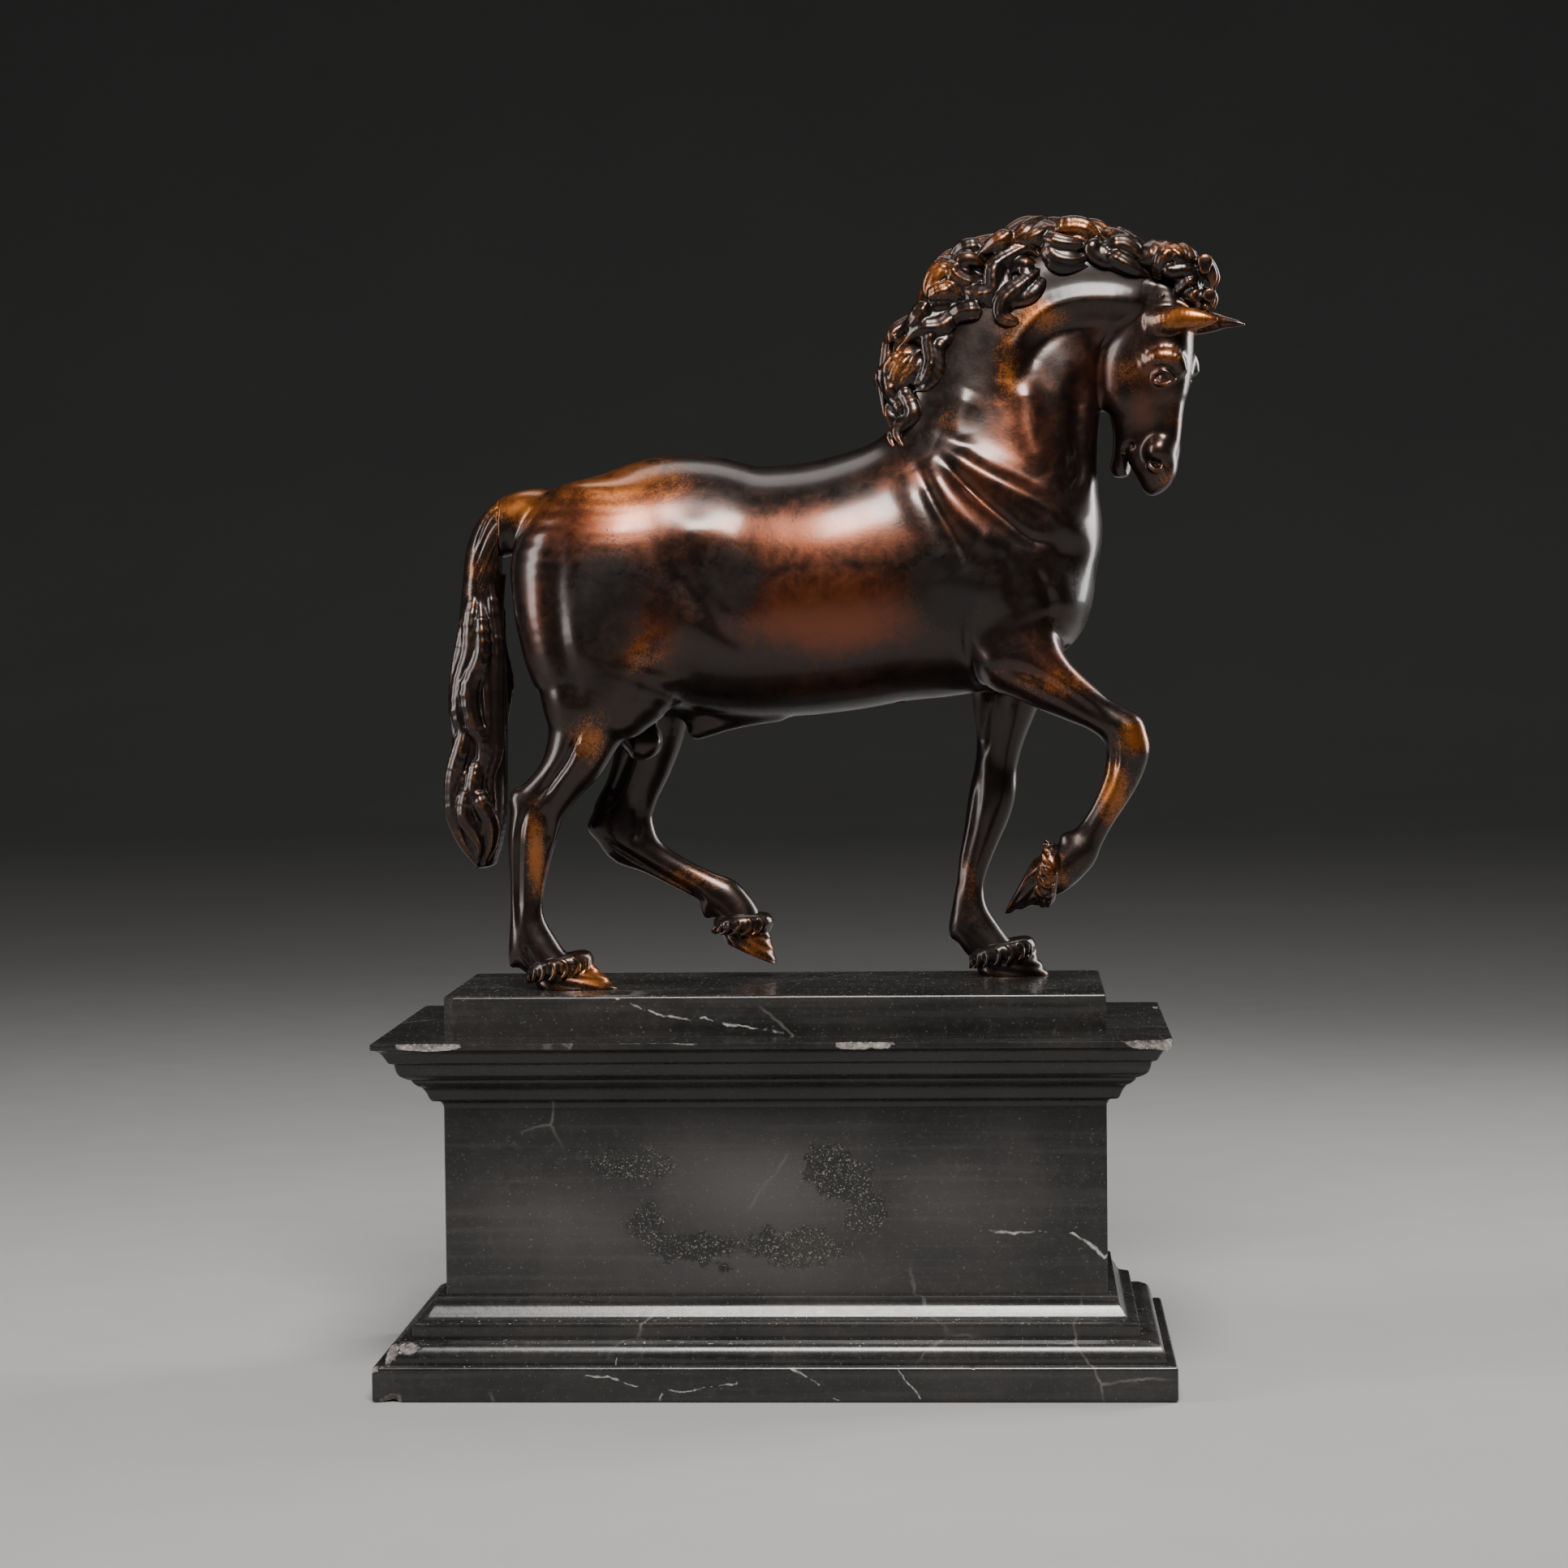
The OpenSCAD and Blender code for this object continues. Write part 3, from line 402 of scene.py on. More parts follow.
def line_body(clay):
    """Muscle edges, tendons and skin folds, drawn in side view."""
    # Three folds run from the withers down to the point of the shoulder.
    clay.line([(53, 172), (60, 168), (67, 163), (78, 158), (90, 151)], 2.6, 0.8)
    clay.line([(51, 169), (62, 163), (74, 156), (85, 150), (94, 143)], 4.4, -2.0)
    clay.line([(53, 164), (62, 154), (71, 146), (80, 139), (87, 138)], 2.2, 1.5)
    clay.line([(48, 165), (54, 154), (62, 144), (72, 134)], 4.6, -1.7)
    clay.line([(46, 161), (51, 150), (56, 141), (60, 132)], 2.3, 1.0)
    clay.line([(41, 160), (46, 149), (51, 138), (55, 128)], 4.6, -1.0)
    clay.dent((94, 143), (6, 6), -1.3)
    clay.dent((90, 134), (6, 4), 1.2)
    clay.dent((92, 121), (5, 6), -1.1)
    clay.line([(82, 130), (86, 120), (85, 112)], 1.9, 1.4)
    clay.line([(70, 137), (74, 127), (76, 118)], 2.6, 0.8)
    clay.line([(87, 112), (92, 105), (95, 101)], 1.6, 1.2, -1)
    # Elbows and the creases behind them.
    clay.line([(61, 118), (60.5, 108), (62.5, 99), (66, 93.5)], 2.0, 1.3, -1)
    clay.line([(61, 116), (61.5, 106), (66, 96)], 1.5, 1.4, 1)
    clay.dent((68, 101), (5, 6), -1.2, -1)
    # The raised foreleg.
    clay.line([(71, 100), (80, 97.3), (89, 92.3), (97, 87), (103, 82.5)], 2.0, 0.9, -1)
    clay.line([(106.5, 70), (104, 62), (99.5, 54), (94.5, 46)], 1.5, 0.6, -1)
    clay.line([(105, 80), (106.2, 73), (105.5, 67)], 1.1, 0.8, -1)
    # The planted foreleg.
    clay.line([(64, 66), (63.3, 58), (62, 49), (59.6, 39), (57.6, 30), (57, 22)], 1.6, 0.6)
    clay.line([(68, 92), (66, 82), (65.5, 72)], 1.6, 0.9, 1)
    # Thigh, flank and belly.
    clay.line([(-32, 134), (-27, 127), (-20.5, 118), (-13, 110.5), (-4, 106.5)], 3.6, 1.1)
    clay.dent((-17, 127), (9, 10), 1.4)
    clay.dent((-24, 143), (7, 5), -0.9)
    clay.line([(-66, 142), (-67, 124), (-65.5, 108), (-61.5, 96), (-61, 88)], 3.6, 1.1)
    clay.line([(-57, 128), (-60, 112), (-58, 98)], 3.6, -0.6)
    clay.line([(-40, 104), (-44, 92), (-50, 82)], 2.6, 0.8)
    clay.dent((-34, 108), (9, 9), -1.6)
    # Gaskin, hock and tendon of the planted hind leg.
    clay.line([(-59.5, 84), (-64, 73), (-69, 66), (-74, 59.5)], 1.5, 1.7)
    clay.line([(-77, 58), (-79.4, 51), (-80.3, 40), (-80.6, 29), (-80.6, 20)], 1.3, 0.9)
    clay.line([(-72, 57), (-71, 52), (-71.6, 46)], 1.3, 0.8)
    clay.line([(-79, 13.5), (-77, 9.5), (-75.5, 6)], 1.0, 1.0)
    # The raised hind leg.
    clay.line([(-47, 76), (-51, 66), (-55, 57)], 1.5, 1.3)
    clay.line([(-47, 58), (-46.5, 50), (-47.5, 44)], 1.4, 0.9)
    clay.line([(-56, 44.5), (-47, 38.5), (-38, 33), (-30, 28.4), (-25.5, 24.5)], 1.0, 1.0)
    # Arc under the crest, hollow behind the jaw and the long muscles of the throat.
    clay.line([(73, 189), (75, 198), (79.5, 205), (86.5, 210.5), (97, 213.4), (109, 213), (118, 211)], 3.9, -2.0)
    clay.line([(78, 188), (82, 197.5), (88.5, 203.5), (98, 206.2), (110, 206)], 2.8, 0.9)
    clay.dent((92, 202), (10, 7), 1.9)
    clay.dent((84, 193), (6, 9), 1.1)
    clay.line([(79, 190), (80, 180), (81, 170), (86, 160)], 4.5, -1.3)
    clay.line([(96.5, 190), (94.6, 180), (94.5, 170), (95, 160), (92, 152)], 3.0, 1.5)
    clay.line([(62, 186), (58, 177), (59, 168)], 4.0, -0.8)
    # The cleft under the tail.
    place, (x, y, z) = clay.window((-88, -6, 60), (-58, 6, 136))
    clay.d[place] += (2.4 * np.exp(-(y / 1.7) ** 2) * np.clip((136 - z) / 20, 0, 1)).astype(np.float32)
    place, (x, y, z) = clay.window((-60, -6, 150), (40, 6, 175))
    clay.d[place] += (0.8 * np.exp(-(y / 2.5) ** 2) * np.clip((z - 150) / 10, 0, 1)).astype(np.float32)


# The head has its own frame: u forward, v sideways, z up, turned towards the near side.
HEAD_AT = (118.0, -4.0)
HEAD_TURN = math.radians(-23)
HEAD = [
    (3, 0, 217, 8, 7.0), (2.2, 0, 208, 12, 8.4), (0.2, 0, 200, 13.9, 8.9), (-0.6, 0, 193, 14.2, 8.7),
    (-1.4, 0, 186, 13.7, 7.8), (-1.0, 0, 180, 12.2, 6.7), (0, 0, 173, 10.3, 5.6), (0.6, 0, 166.5, 8.8, 5.3),
    (1.6, 0, 161.5, 7.2, 5.2), (1.4, 0, 158, 5.8, 4.4), (0.7, 0, 155, 3.6, 3.0), (0.4, 0, 153.2, 1.6, 1.6)]


def head_to_horse(points):
    c, s = math.cos(HEAD_TURN), math.sin(HEAD_TURN)
    u, v, z = points.T
    return np.column_stack([HEAD_AT[0] + u * c - v * s, HEAD_AT[1] + u * s + v * c, z])


def model_head(clay):
    """Skull, jaw, eyes, nostrils, mouth and ears, in the head's own frame."""
    clay.tube(HEAD, 1, 5, power=2.7)
    clay.soften(4)
    clay.tube([(-6.5, 0, 175, 4.6, 4.2), (-8.2, 0, 168, 3.9, 3.9), (-9.4, 0, 162.5, 3.1, 3.6),
               (-9.6, 0, 159.6, 2.2, 3.0)], 2.5)
    clay.blob((-10.4, 0, 162), (2.4, 3.2, 3.2), 1.5)
    for side in (-1, 1):
        clay.blob((-6.6, side * 4.4, 188.5), (8.8, 4.6, 11.0), 3, 12)
        # Brow, eye socket, eyeball and the two lids.
        clay.tube([(1.8, side * 7.6, 193.4, 1.5, 1.3), (6.4, side * 8.5, 195.2, 2.3, 1.9),
                   (11.0, side * 6.8, 194.4, 2.3, 1.9), (13.0, side * 5.6, 191, 1.4, 1.2)], 2.6)
        clay.blob((7.4, side * 9.7, 188.9), (4.0, 1.8, 2.2), 1.6, press=True)
        clay.blob((7.5, side * 6.6, 188.9), (2.5, 2.0, 1.8), 0.4)
        clay.tube([(3.6, side * 7.6, 188.6, 0.4, 0.5), (5.0, side * 8.3, 190.3, 0.7, 0.7),
                   (7.4, side * 8.5, 191.0, 0.85, 0.8), (9.6, side * 7.9, 190.1, 0.7, 0.7),
                   (11.2, side * 7.0, 188.2, 0.4, 0.5)], 0.8)
        clay.tube([(4.2, side * 7.6, 188.2, 0.4, 0.45), (6.0, side * 8.0, 187.0, 0.55, 0.55),
                   (8.4, side * 7.9, 186.8, 0.55, 0.55), (10.6, side * 7.0, 187.8, 0.4, 0.45)], 1.0)
        clay.dent((1, 171.5), (4, 6), 0.7, side)
        # Nostril: a round swelling over a dark opening with a lower rim.
        clay.blob((4.3, side * 4.6, 166.6), (3.2, 2.9, 3.3), 3.6)
        clay.blob((4.2, side * 7.2, 162.4), (2.5, 2.6, 1.6), 0.5, -12, press=True)
        clay.tube([(1.9, side * 5.3, 161.6, 0.5, 0.6), (3.8, side * 5.6, 160.3, 0.7, 0.7),
                   (6.0, side * 5.2, 160.9, 0.5, 0.6)], 1.2)
        # Ear: a rounded leaf, rolled at the edge and pricked forward.
        clay.tube([(3.5, side * 6.2, 206, 4.0, 3.0), (9, side * 7.8, 206.6, 4.0, 2.8),
                   (15, side * 8.2, 206.8, 3.7, 2.6), (19.5, side * 7.6, 206.6, 2.9, 2.2),
                   (23, side * 6.8, 206.4, 1.6, 1.4), (24.8, side * 6.4, 206.3, 0.5, 0.6)], 1.4)
    clay.tube([(22, 6.8, 206.4, 2.0, 1.6), (26.4, 6.4, 205.9, 1.2, 1.1), (29.2, 6.2, 205.4, 0.4, 0.5)], 0.6)
    # The open mouth, the groove of the chin and the jaw's edge.
    clay.tube([(-7.4, 0, 165.8, 0.35, 14), (-6.6, 0, 162.4, 0.9, 14), (-5.6, 0, 158.6, 1.6, 14),
               (-4.6, 0, 153, 2.8, 14)], 0.5, press=True)
    clay.line([(-7.6, 166), (-5.6, 168.2), (-3, 168.6)], 1.0, 0.6)


# Locks of the mane: half width, and a line in side view, x and z, from root to tip.
NEAR_MANE = [
    # The loose end on the withers.
    (2.0, [(39, 198), (35, 191), (39, 183), (42, 178), (37, 172), (39, 167)]),
    (2.0, [(38, 190), (43, 183), (44, 178), (39, 173), (42, 167)]), (2.0, [(41, 198), (37, 194), (37, 187), (40, 183)]),
    (2.2, [(45, 199), (40, 193), (39, 188), (43, 184)]), (2.2, [(47, 198), (45, 193), (41, 189), (43, 187)]),
    (2.4, [(58, 205), (50, 203), (50, 195), (47, 189), (42, 188)]),
    (1.8, [(59, 204), (53, 200), (52, 192), (48, 187), (44, 186)]), (1.8, [(48, 200), (46, 193), (46, 190), (44, 188)]),
    # Half way up the neck.
    (2.7, [(58, 210), (53, 206), (46, 205), (40, 200)]), (2.5, [(56, 212), (49, 208), (43, 206), (38, 202)]),
    (2.6, [(66, 211), (59, 210), (52, 205)]), (2.4, [(49, 214), (45, 208), (38, 203)]),
    (1.9, [(49, 210), (53, 213), (58, 212), (63, 211)]), (2.3, [(54, 220), (58, 216), (63, 213)]),
    (2.3, [(49, 215), (55, 217), (62, 213)]), (3.3, [(57, 228), (53, 223), (50, 218), (49, 214)]),
    (2.6, [(66, 231), (60, 230), (54, 224)]), (2.2, [(59, 227), (57, 223), (61, 220), (66, 220), (69, 223)]),
    (2.0, [(58, 225), (62, 227), (68, 224)]), (1.6, [(61, 224), (61, 222), (66, 222)]),
    (2.6, [(56, 220), (64, 216), (69, 217), (70, 224), (75, 228), (80, 230), (84, 227)]),
    (2.0, [(63, 213), (69, 214), (73, 219), (73, 224), (78, 227), (84, 225)]),
    # The curl that hangs on the neck.
    (2.4, [(85, 224), (79, 219), (73, 214), (72, 209), (76, 207), (77, 209)]), (1.8, [(82, 224), (77, 225), (73, 220)]),
    (2.0, [(86, 221), (81, 215), (76, 213), (75, 210)]), (1.6, [(77, 224), (80, 222), (79, 220)]),
    # Along the top of the crest.
    (2.4, [(75, 235), (71, 232), (64, 228)]), (2.1, [(77, 235), (73, 231), (71, 228)]),
    (2.5, [(88, 238), (82, 237), (77, 233), (73, 231)]), (2.2, [(89, 238), (83, 234), (75, 231)]),
    (2.0, [(91, 237), (86, 234), (82, 232), (78, 231)]), (2.5, [(85, 232), (89, 227), (95, 226), (101, 229)]),
    (2.3, [(85, 233), (92, 231), (101, 231)]), (2.2, [(86, 227), (91, 224), (100, 224)]),
    (3.2, [(89, 236), (97, 236), (104, 232)]), (2.0, [(103, 232), (100, 229), (104, 225), (110, 224)]),
    (2.0, [(104, 231), (104, 227), (110, 223), (118, 221)]), (2.5, [(105, 230), (111, 230), (119, 223)]),
    (2.3, [(104, 228), (111, 224), (118, 220)]), (2.3, [(106, 236), (113, 231), (120, 227)]),
    (2.3, [(103, 235), (110, 232), (119, 226)])]
# Locks that cross the top of the crest, from the far side to the near one or back.
TOP_MANE = [
    (3.2, [(41, 203), (37, 203), (36, 198), (35, 190), (35, 183), (34.5, 178)]),
    (3.2, [(48, 213), (43, 209), (38, 206), (36.5, 202)]),
    (3.4, [(52, 224), (49, 218), (47, 213), (42, 209)]),
    (3.4, [(62, 231), (56, 229), (51, 224), (49, 219)]),
    (3.4, [(74, 235), (67, 233.5), (60, 231.5), (55, 228)]),
    (3.6, [(86, 239), (80, 239), (74, 236), (69, 232)]),
    (3.6, [(84, 239.5), (91, 238.5), (97, 238), (101, 235.5)]),
    (3.4, [(94, 238), (101, 238), (106, 235), (110, 233)]),
    (3.2, [(104, 234), (110, 235), (115, 231.5), (118, 228)])]
# Curls of the forelock, drawn the same way.
FORELOCK = [
    (2.3, [(126, 230), (122, 226), (121, 221), (122, 219)]),
    (2.3, [(119, 221), (122, 215), (127, 216), (131, 219), (133, 216)]),
    (1.9, [(124, 226), (124, 222), (129, 222), (133, 220), (133, 217)]), (2.1, [(126, 230), (130, 226), (126, 223)]),
    (1.9, [(130, 224), (134, 225), (137, 220), (137, 216)]), (1.7, [(131, 223), (134, 223), (136, 218)]),
    (1.8, [(132, 216), (136, 214), (137, 210)]), (2.0, [(121, 214), (130, 215), (134, 212), (135, 210)]),
    (1.6, [(121, 211), (126, 212), (131, 210)]), (2.2, [(124, 229), (127, 226), (125, 223)])]
CREST = [
    (41, 0, 172, 3, 4.5), (39.5, 0, 184, 3.6, 7), (42, 0, 197, 4.4, 7.6), (49, 0, 211, 5, 8),
    (57, 0, 221.5, 5.4, 8), (67.5, -0.5, 228, 5.4, 8), (81, -1, 232, 5.4, 8), (96, -2, 231, 5.4, 8),
    (108, -3, 228, 5.4, 8), (118, -4, 225, 5.4, 7)]


# The thin coat of hair under the locks.
COAT = [
    (4.5, [(39, 170), (39.5, 180), (41, 190), (44, 199), (50, 207), (58, 213), (66, 219)]),
    (5.5, [(42, 196), (48, 206), (56, 216), (64, 222), (74, 226), (84, 229), (96, 229), (108, 226), (116, 224)])]


def lock_rows(path, half, side, under, lift=0.45, thick=0.8):
    """A lock laid on the surface under it: thin at the root, wide in the middle and pointed at the tip."""
    path = smooth(np.asarray(path, float), max(3, 24 // len(path)))
    t = np.linspace(0, 1, len(path))
    wide = half * (0.5 + 0.55 * np.sin(math.pi * np.clip(0.12 + t * 0.95, 0, 1)) ** 0.7)
    wide = wide * (1 - 0.7 * t ** 4) * np.minimum(1, 0.45 + 4 * t)
    y = np.array([max(abs(clay.height(x, z, side)) for clay in under) for x, z in path])
    y = np.convolve(np.pad(y, 3, mode="edge"), np.ones(7) / 7, "valid")
    y = side * (y + wide * lift - 1.8 * (1 - np.clip(t * 4, 0, 1)))
    return np.column_stack([path[:, 0], y, path[:, 1], wide, np.maximum(wide * thick, 0.6)])


def copy_of(clay):
    twin = Clay(clay.low, clay.low + (clay.size - 1) * clay.step, clay.step)
    twin.d[:] = clay.d
    return twin


def model_mane(clay, neck):
    """A ridge along the crest, a thin coat of hair, and the locks that lie on it."""
    clay.tube(CREST, 1, 3)
    for half, path in COAT:
        for side in (-1, 1):
            clay.tube(lock_rows(path, half, side, (clay, neck), 0, 0.32), 1.5, 1)
    place, (x, y, z) = clay.window(clay.low, clay.low + clay.size * clay.step)
    turn, far = np.arctan2(z - 190, x - 85), np.sqrt((z - 190) ** 2 + (x - 85) ** 2)
    clay.d += (0.40 * np.sin(turn * 30 + 1.3 * np.sin(far * 0.55 + turn * 5) + y * 0.3)).astype(np.float32)
    for half, path in TOP_MANE:
        rows = lock_rows(path, half * 0.85, -1, (clay,))
        rows[:, 1] = np.linspace(3.0, -3.5, len(rows)) + rng.uniform(-1, 1)
        rows[:, 2] -= 1.0
        clay.tube(rows, 0.4, 1, ridges=2, depth=0.45)
    under = (copy_of(clay), neck)
    for k, (half, path) in enumerate(NEAR_MANE):
        lift = 0.35 + 0.2 * (k % 3)
        for side in (-1, 1):
            if side > 0:
                path = [(x + 1.5 * math.sin(z * 0.35), z - 0.6) for x, z in path]
            clay.tube(lock_rows(path, half * 1.22, side, under, lift, 0.75), 0.35, 1, ridges=2 if half > 2.1 else 0,
                      depth=0.42)
    clay.soften(1)


def model_forelock(clay):
    """Curls between the ears, on a round tuft that turns with the head."""
    clay.tube([(113, -4, 226, 5, 8), (121, -6, 226.5, 6, 8), (127.5, -8.5, 222.5, 5.6, 6.5), (131, -10, 216, 3.5, 4.5),
               (132.5, -11, 211, 1.5, 2.5)], 1, 4)
    place, (x, y, z) = clay.window(clay.low, clay.low + clay.size * clay.step)
    clay.d += (0.3 * np.sin(x * 1.3 + 1.2 * np.sin(z * 0.6)) * np.sin(z * 0.6)).astype(np.float32)
    under = (copy_of(clay),)
    for k, (half, path) in enumerate(FORELOCK):
        for side in (-1, 1):
            rows = lock_rows(path, half * 1.15, side, under, 0.4 + 0.2 * (k % 2))
            if side > 0:
                rows[:, 0] += 1.0
            reach = -7.0 - (rows[:, 0] - 121) * 0.42
            seen = np.abs(rows[:, 1]) < 4.5
            rows[:, 1] = np.where(seen, reach + side * 2.5, rows[:, 1])
            clay.tube(rows, 0.35, 1, ridges=2 if half > 2 else 0, depth=0.4)
    clay.soften(1)


TAIL = [
    (-79, 0, 148.2, 8.8, 7.2), (-84.5, 0, 146.2, 8.3, 7), (-89, 0, 142, 7.6, 7), (-91.8, 0, 136, 6.9, 6.8),
    (-93.0, 0, 127, 6.8, 6.6), (-94.1, 0, 113, 7.2, 6.6), (-94.2, 0, 98, 8.2, 7.0), (-95, 0, 75, 9.0, 8.0),
    (-95.5, 0, 56, 9.1, 8.2), (-94.8, 0, 46, 7.2, 6.8), (-93.4, 0, 38.5, 3.6, 4)]
TAIL_LOCKS = [
    (2.9, [(-103, 128), (-103.5, 113), (-103, 100), (-104, 90), (-103, 81), (-101, 73)]),
    (2.9, [(-101, 126), (-100, 116), (-99, 106), (-101, 96), (-101, 86), (-98, 76), (-100, 66)]),
    (2.9, [(-97, 124), (-95, 114), (-95, 104), (-98, 94), (-96, 84), (-93, 78), (-94, 70), (-98, 63)]),
    (2.9, [(-93, 122), (-92, 110), (-93, 100), (-92, 90), (-91, 82), (-91, 74), (-94, 66), (-98, 61)]),
    (2.8, [(-91, 132), (-89.8, 120), (-90, 108), (-90, 96), (-89, 84), (-89, 74), (-91, 66), (-90, 54), (-91, 44)]),
    (2.9, [(-104.5, 88), (-106, 76), (-106, 68), (-103.5, 61), (-105.8, 53), (-104, 45), (-100.5, 39.5)]),
    (2.8, [(-101, 72), (-103.5, 64), (-103.5, 56), (-101, 49), (-100.5, 43), (-97.5, 36.6)]),
    (2.7, [(-98, 66), (-100, 60), (-99, 54), (-96, 49), (-94.5, 44), (-96, 37.5)]),
    (2.7, [(-97, 64), (-92.4, 58), (-90.4, 51), (-91.2, 44), (-94, 37.6)]),
    (2.6, [(-93, 74), (-95.5, 68), (-96, 61), (-93, 54), (-94, 46), (-96.5, 40)])]


def model_tail(clay):
    """The tail's core and its locks, kept inside the core's outline in side view."""
    clay.tube(TAIL, 1, 4)
    under = (copy_of(clay),)
    middle = np.array(TAIL)[::-1]
    for k, (half, path) in enumerate(TAIL_LOCKS):
        for side in (-1, 1):
            inside = []
            for x, z in path:
                centre, room = (np.interp(z, middle[:, 2], middle[:, c]) for c in (0, 3))
                x += 2.6 * min(max((z - 82) / 30, 0), 1) + (1.6 * math.sin(z * 0.21 + 1) if side > 0 else 0)
                room += -0.5 * half + 0.3 * math.sin(z * 0.22 + 1.7 * k)
                spread = min(1, 0.35 + 0.3 * len(inside))
                inside.append((centre + np.clip(x - centre, -room, room) * spread, z))
            clay.tube(lock_rows(inside, half, side, under, 0.25 + 0.2 * (k % 3)), 0.35, 1, ridges=2, depth=0.4)
    clay.soften(1)
    # Hair starts in fine lines along the dock.
    for z0 in (152, 148.5, 145, 141.5):
        clay.line([(-87, z0), (-91, z0 - 4 - (152 - z0) * 0.5), (-95, z0 - 14 - (152 - z0) * 0.4)], 0.6, 0.45)


CURLS = 16
# Each hoof in side view: heel and toe of the sole, then back and front of the coronet.
HOOVES = [
    (NEAR, (-75.5, 0), (-50, 0), (-77, 5.5), (-59.5, 9.2)), (FAR, (63, 0), (85.5, 0), (61.5, 6), (79.5, 9.7)),
    (FAR, (-19, 11.5), (-2, 3.7), (-20.5, 17), (-5, 17.5)), (NEAR, (80.8, 40), (71, 22.4), (86.5, 42.5), (83.8, 26.2))]


def model_hoof(y0, heel, toe, back, front):
    """One hoof with its wall, sole rim, coronet roll and the curls of hair that hang over it."""
    heel, toe, back, front = (np.array(p, float) for p in (heel, toe, back, front))
    length = np.linalg.norm(toe - heel)
    along = (toe - heel) / length
    up = np.array([-along[1], along[0]])
    if (back - heel) @ up < 0:
        up = -up
    corners = np.array([heel, toe, back, front])
    clay = Clay([corners[:, 0].min() - 6, y0 - 13, corners[:, 1].min() - 5],
                [corners[:, 0].max() + 6, y0 + 13, corners[:, 1].max() + 8], 0.32)
    place, (x, y, z) = clay.window(clay.low, clay.low + clay.size * clay.step)
    u = (x - heel[0]) * along[0] + (z - heel[1]) * along[1]
    h = (x - heel[0]) * up[0] + (z - heel[1]) * up[1]
    ub, hb = (back - heel) @ along, (back - heel) @ up
    uf, hf = (front - heel) @ along, (front - heel) @ up
    low, high = ub * h / hb, length + (uf - length) * h / hf
    middle, half = (low + high) / 2, np.maximum((high - low) / 2, 1)
    v = np.clip((u - middle) / half, -1.4, 1.4)
    width = (7.5 - 0.6 * np.clip(h / max(hf, 1), 0, 1)) * (1 - 0.16 * v)
    k = np.sqrt(np.abs(v) ** 2.2 + np.abs((y - y0) / width) ** 2.2)
    wall = (k - 1) * np.minimum(half, width)
    wall = wall + 0.12 * np.sin(h * 2.4 + 0.4 * u)
    top = h - (hb + (hf - hb) * (u - ub) / (uf - ub))
    body = np.maximum(np.maximum(wall, -h), top)
    clay.d[place] = np.broadcast_to(body, clay.d.shape)
    # A soft band round the coronet, and the curls that stand on it.
    f = (front - back) / 2
    centre = (back + front) / 2
    for turn in np.arange(0, 360, 20):
        c, q = math.cos(math.radians(turn)), math.sin(math.radians(turn))
        spot = centre + f * c * 0.86
        clay.blob((spot[0], y0 + 5.9 * q, spot[1] + 0.4), (2.8, 2.5, 2.5), 2)
    for i in range(CURLS):
        a = 2 * math.pi * (i + 0.5) / CURLS
        c, q = math.cos(a), math.sin(a)
        at = np.array([centre[0] + f[0] * c * 1.03, y0 + 7.7 * q, centre[1] + f[1] * c * 1.03])
        ahead = np.array([f[0] * abs(q), -np.sign(q) * 7.7 * c, f[1] * abs(q)])
        ahead /= np.linalg.norm(ahead)
        tall = np.array([up[0], 0, up[1]])
        out = np.cross(ahead, tall) * np.sign(q) * -1
        out = out if out @ (at - [centre[0], y0, centre[1]]) > 0 else -out
        spot = at - tall * 0.6
        clay.blob(spot - ahead * 0.5 + out * 0.1, (1.3, 1.1, 1.9), 0.5)
        crescent = []
        for t, h, r in ((-0.5, 2.6, 0.45), (0.7, 1.4, 0.7), (1.2, -0.2, 0.8), (0.8, -1.8, 0.75), (-0.6, -2.9, 0.4)):
            flare = 0.25 + 0.30 * (2.6 - h) * 0.5
            crescent.append((*(spot + ahead * t + tall * h + out * flare), r, r))
        clay.tube(crescent, 0.25, 3)
    return clay


# ---------------------------------------------------------------- patina

# Where the patina is worn to gold, glows red or is dark: x, z, size along x, size along z, strength, side.
RUBBED = [
    (-80, 152, 12, 7, 1.0, 0), (-50, 160, 24, 12, 0.8, 0), (-66, 158, 10, 7, 0.5, 0), (-30, 168, 16, 4, 0.35, 0),
    (-57, 78, 6, 10, 0.7, -1), (-75, 42, 3, 16, 0.9, -1), (-57, 4, 8, 5, 0.9, -1), (-41, 106, 8, 9, 0.65, -1),
    (88, 95, 14, 6, 0.6, -1), (112, 78, 6, 7, 0.9, -1), (106, 60, 5, 12, 0.8, -1), (86, 36, 8, 7, 0.6, -1),
    (-8, 10, 8, 8, 0.7, 0), (-30, 32, 14, 5, 0.45, 0), (70, 96, 6, 8, 0.3, 0), (60, 32, 4, 14, 0.35, 0),
    (123, 158, 5, 5, 0.6, 0), (130, 207, 12, 5, 0.85, 0), (122, 196, 7, 4, 0.5, 0), (84, 209, 9, 7, 0.75, 0),
    (74, 192, 5, 13, 0.7, 0), (100, 215, 12, 4, 0.5, 0), (110, 190, 6, 10, 0.35, 0), (127, 178, 5, 14, 0.3, 0),
    (52, 222, 9, 9, 0.75, 0), (75, 233, 12, 5, 0.5, 0), (96, 236, 14, 5, 0.6, 0), (124, 229, 6, 4, 0.5, 0),
    (40, 196, 6, 10, 0.5, 0), (74, 207, 6, 6, 0.4, 0), (55, 177, 6, 8, 0.3, 0), (-99, 52, 9, 18, 0.15, 0),
    (-95, 130, 9, 12, 0.4, 0), (62, 150, 8, 8, 0.25, 0)]
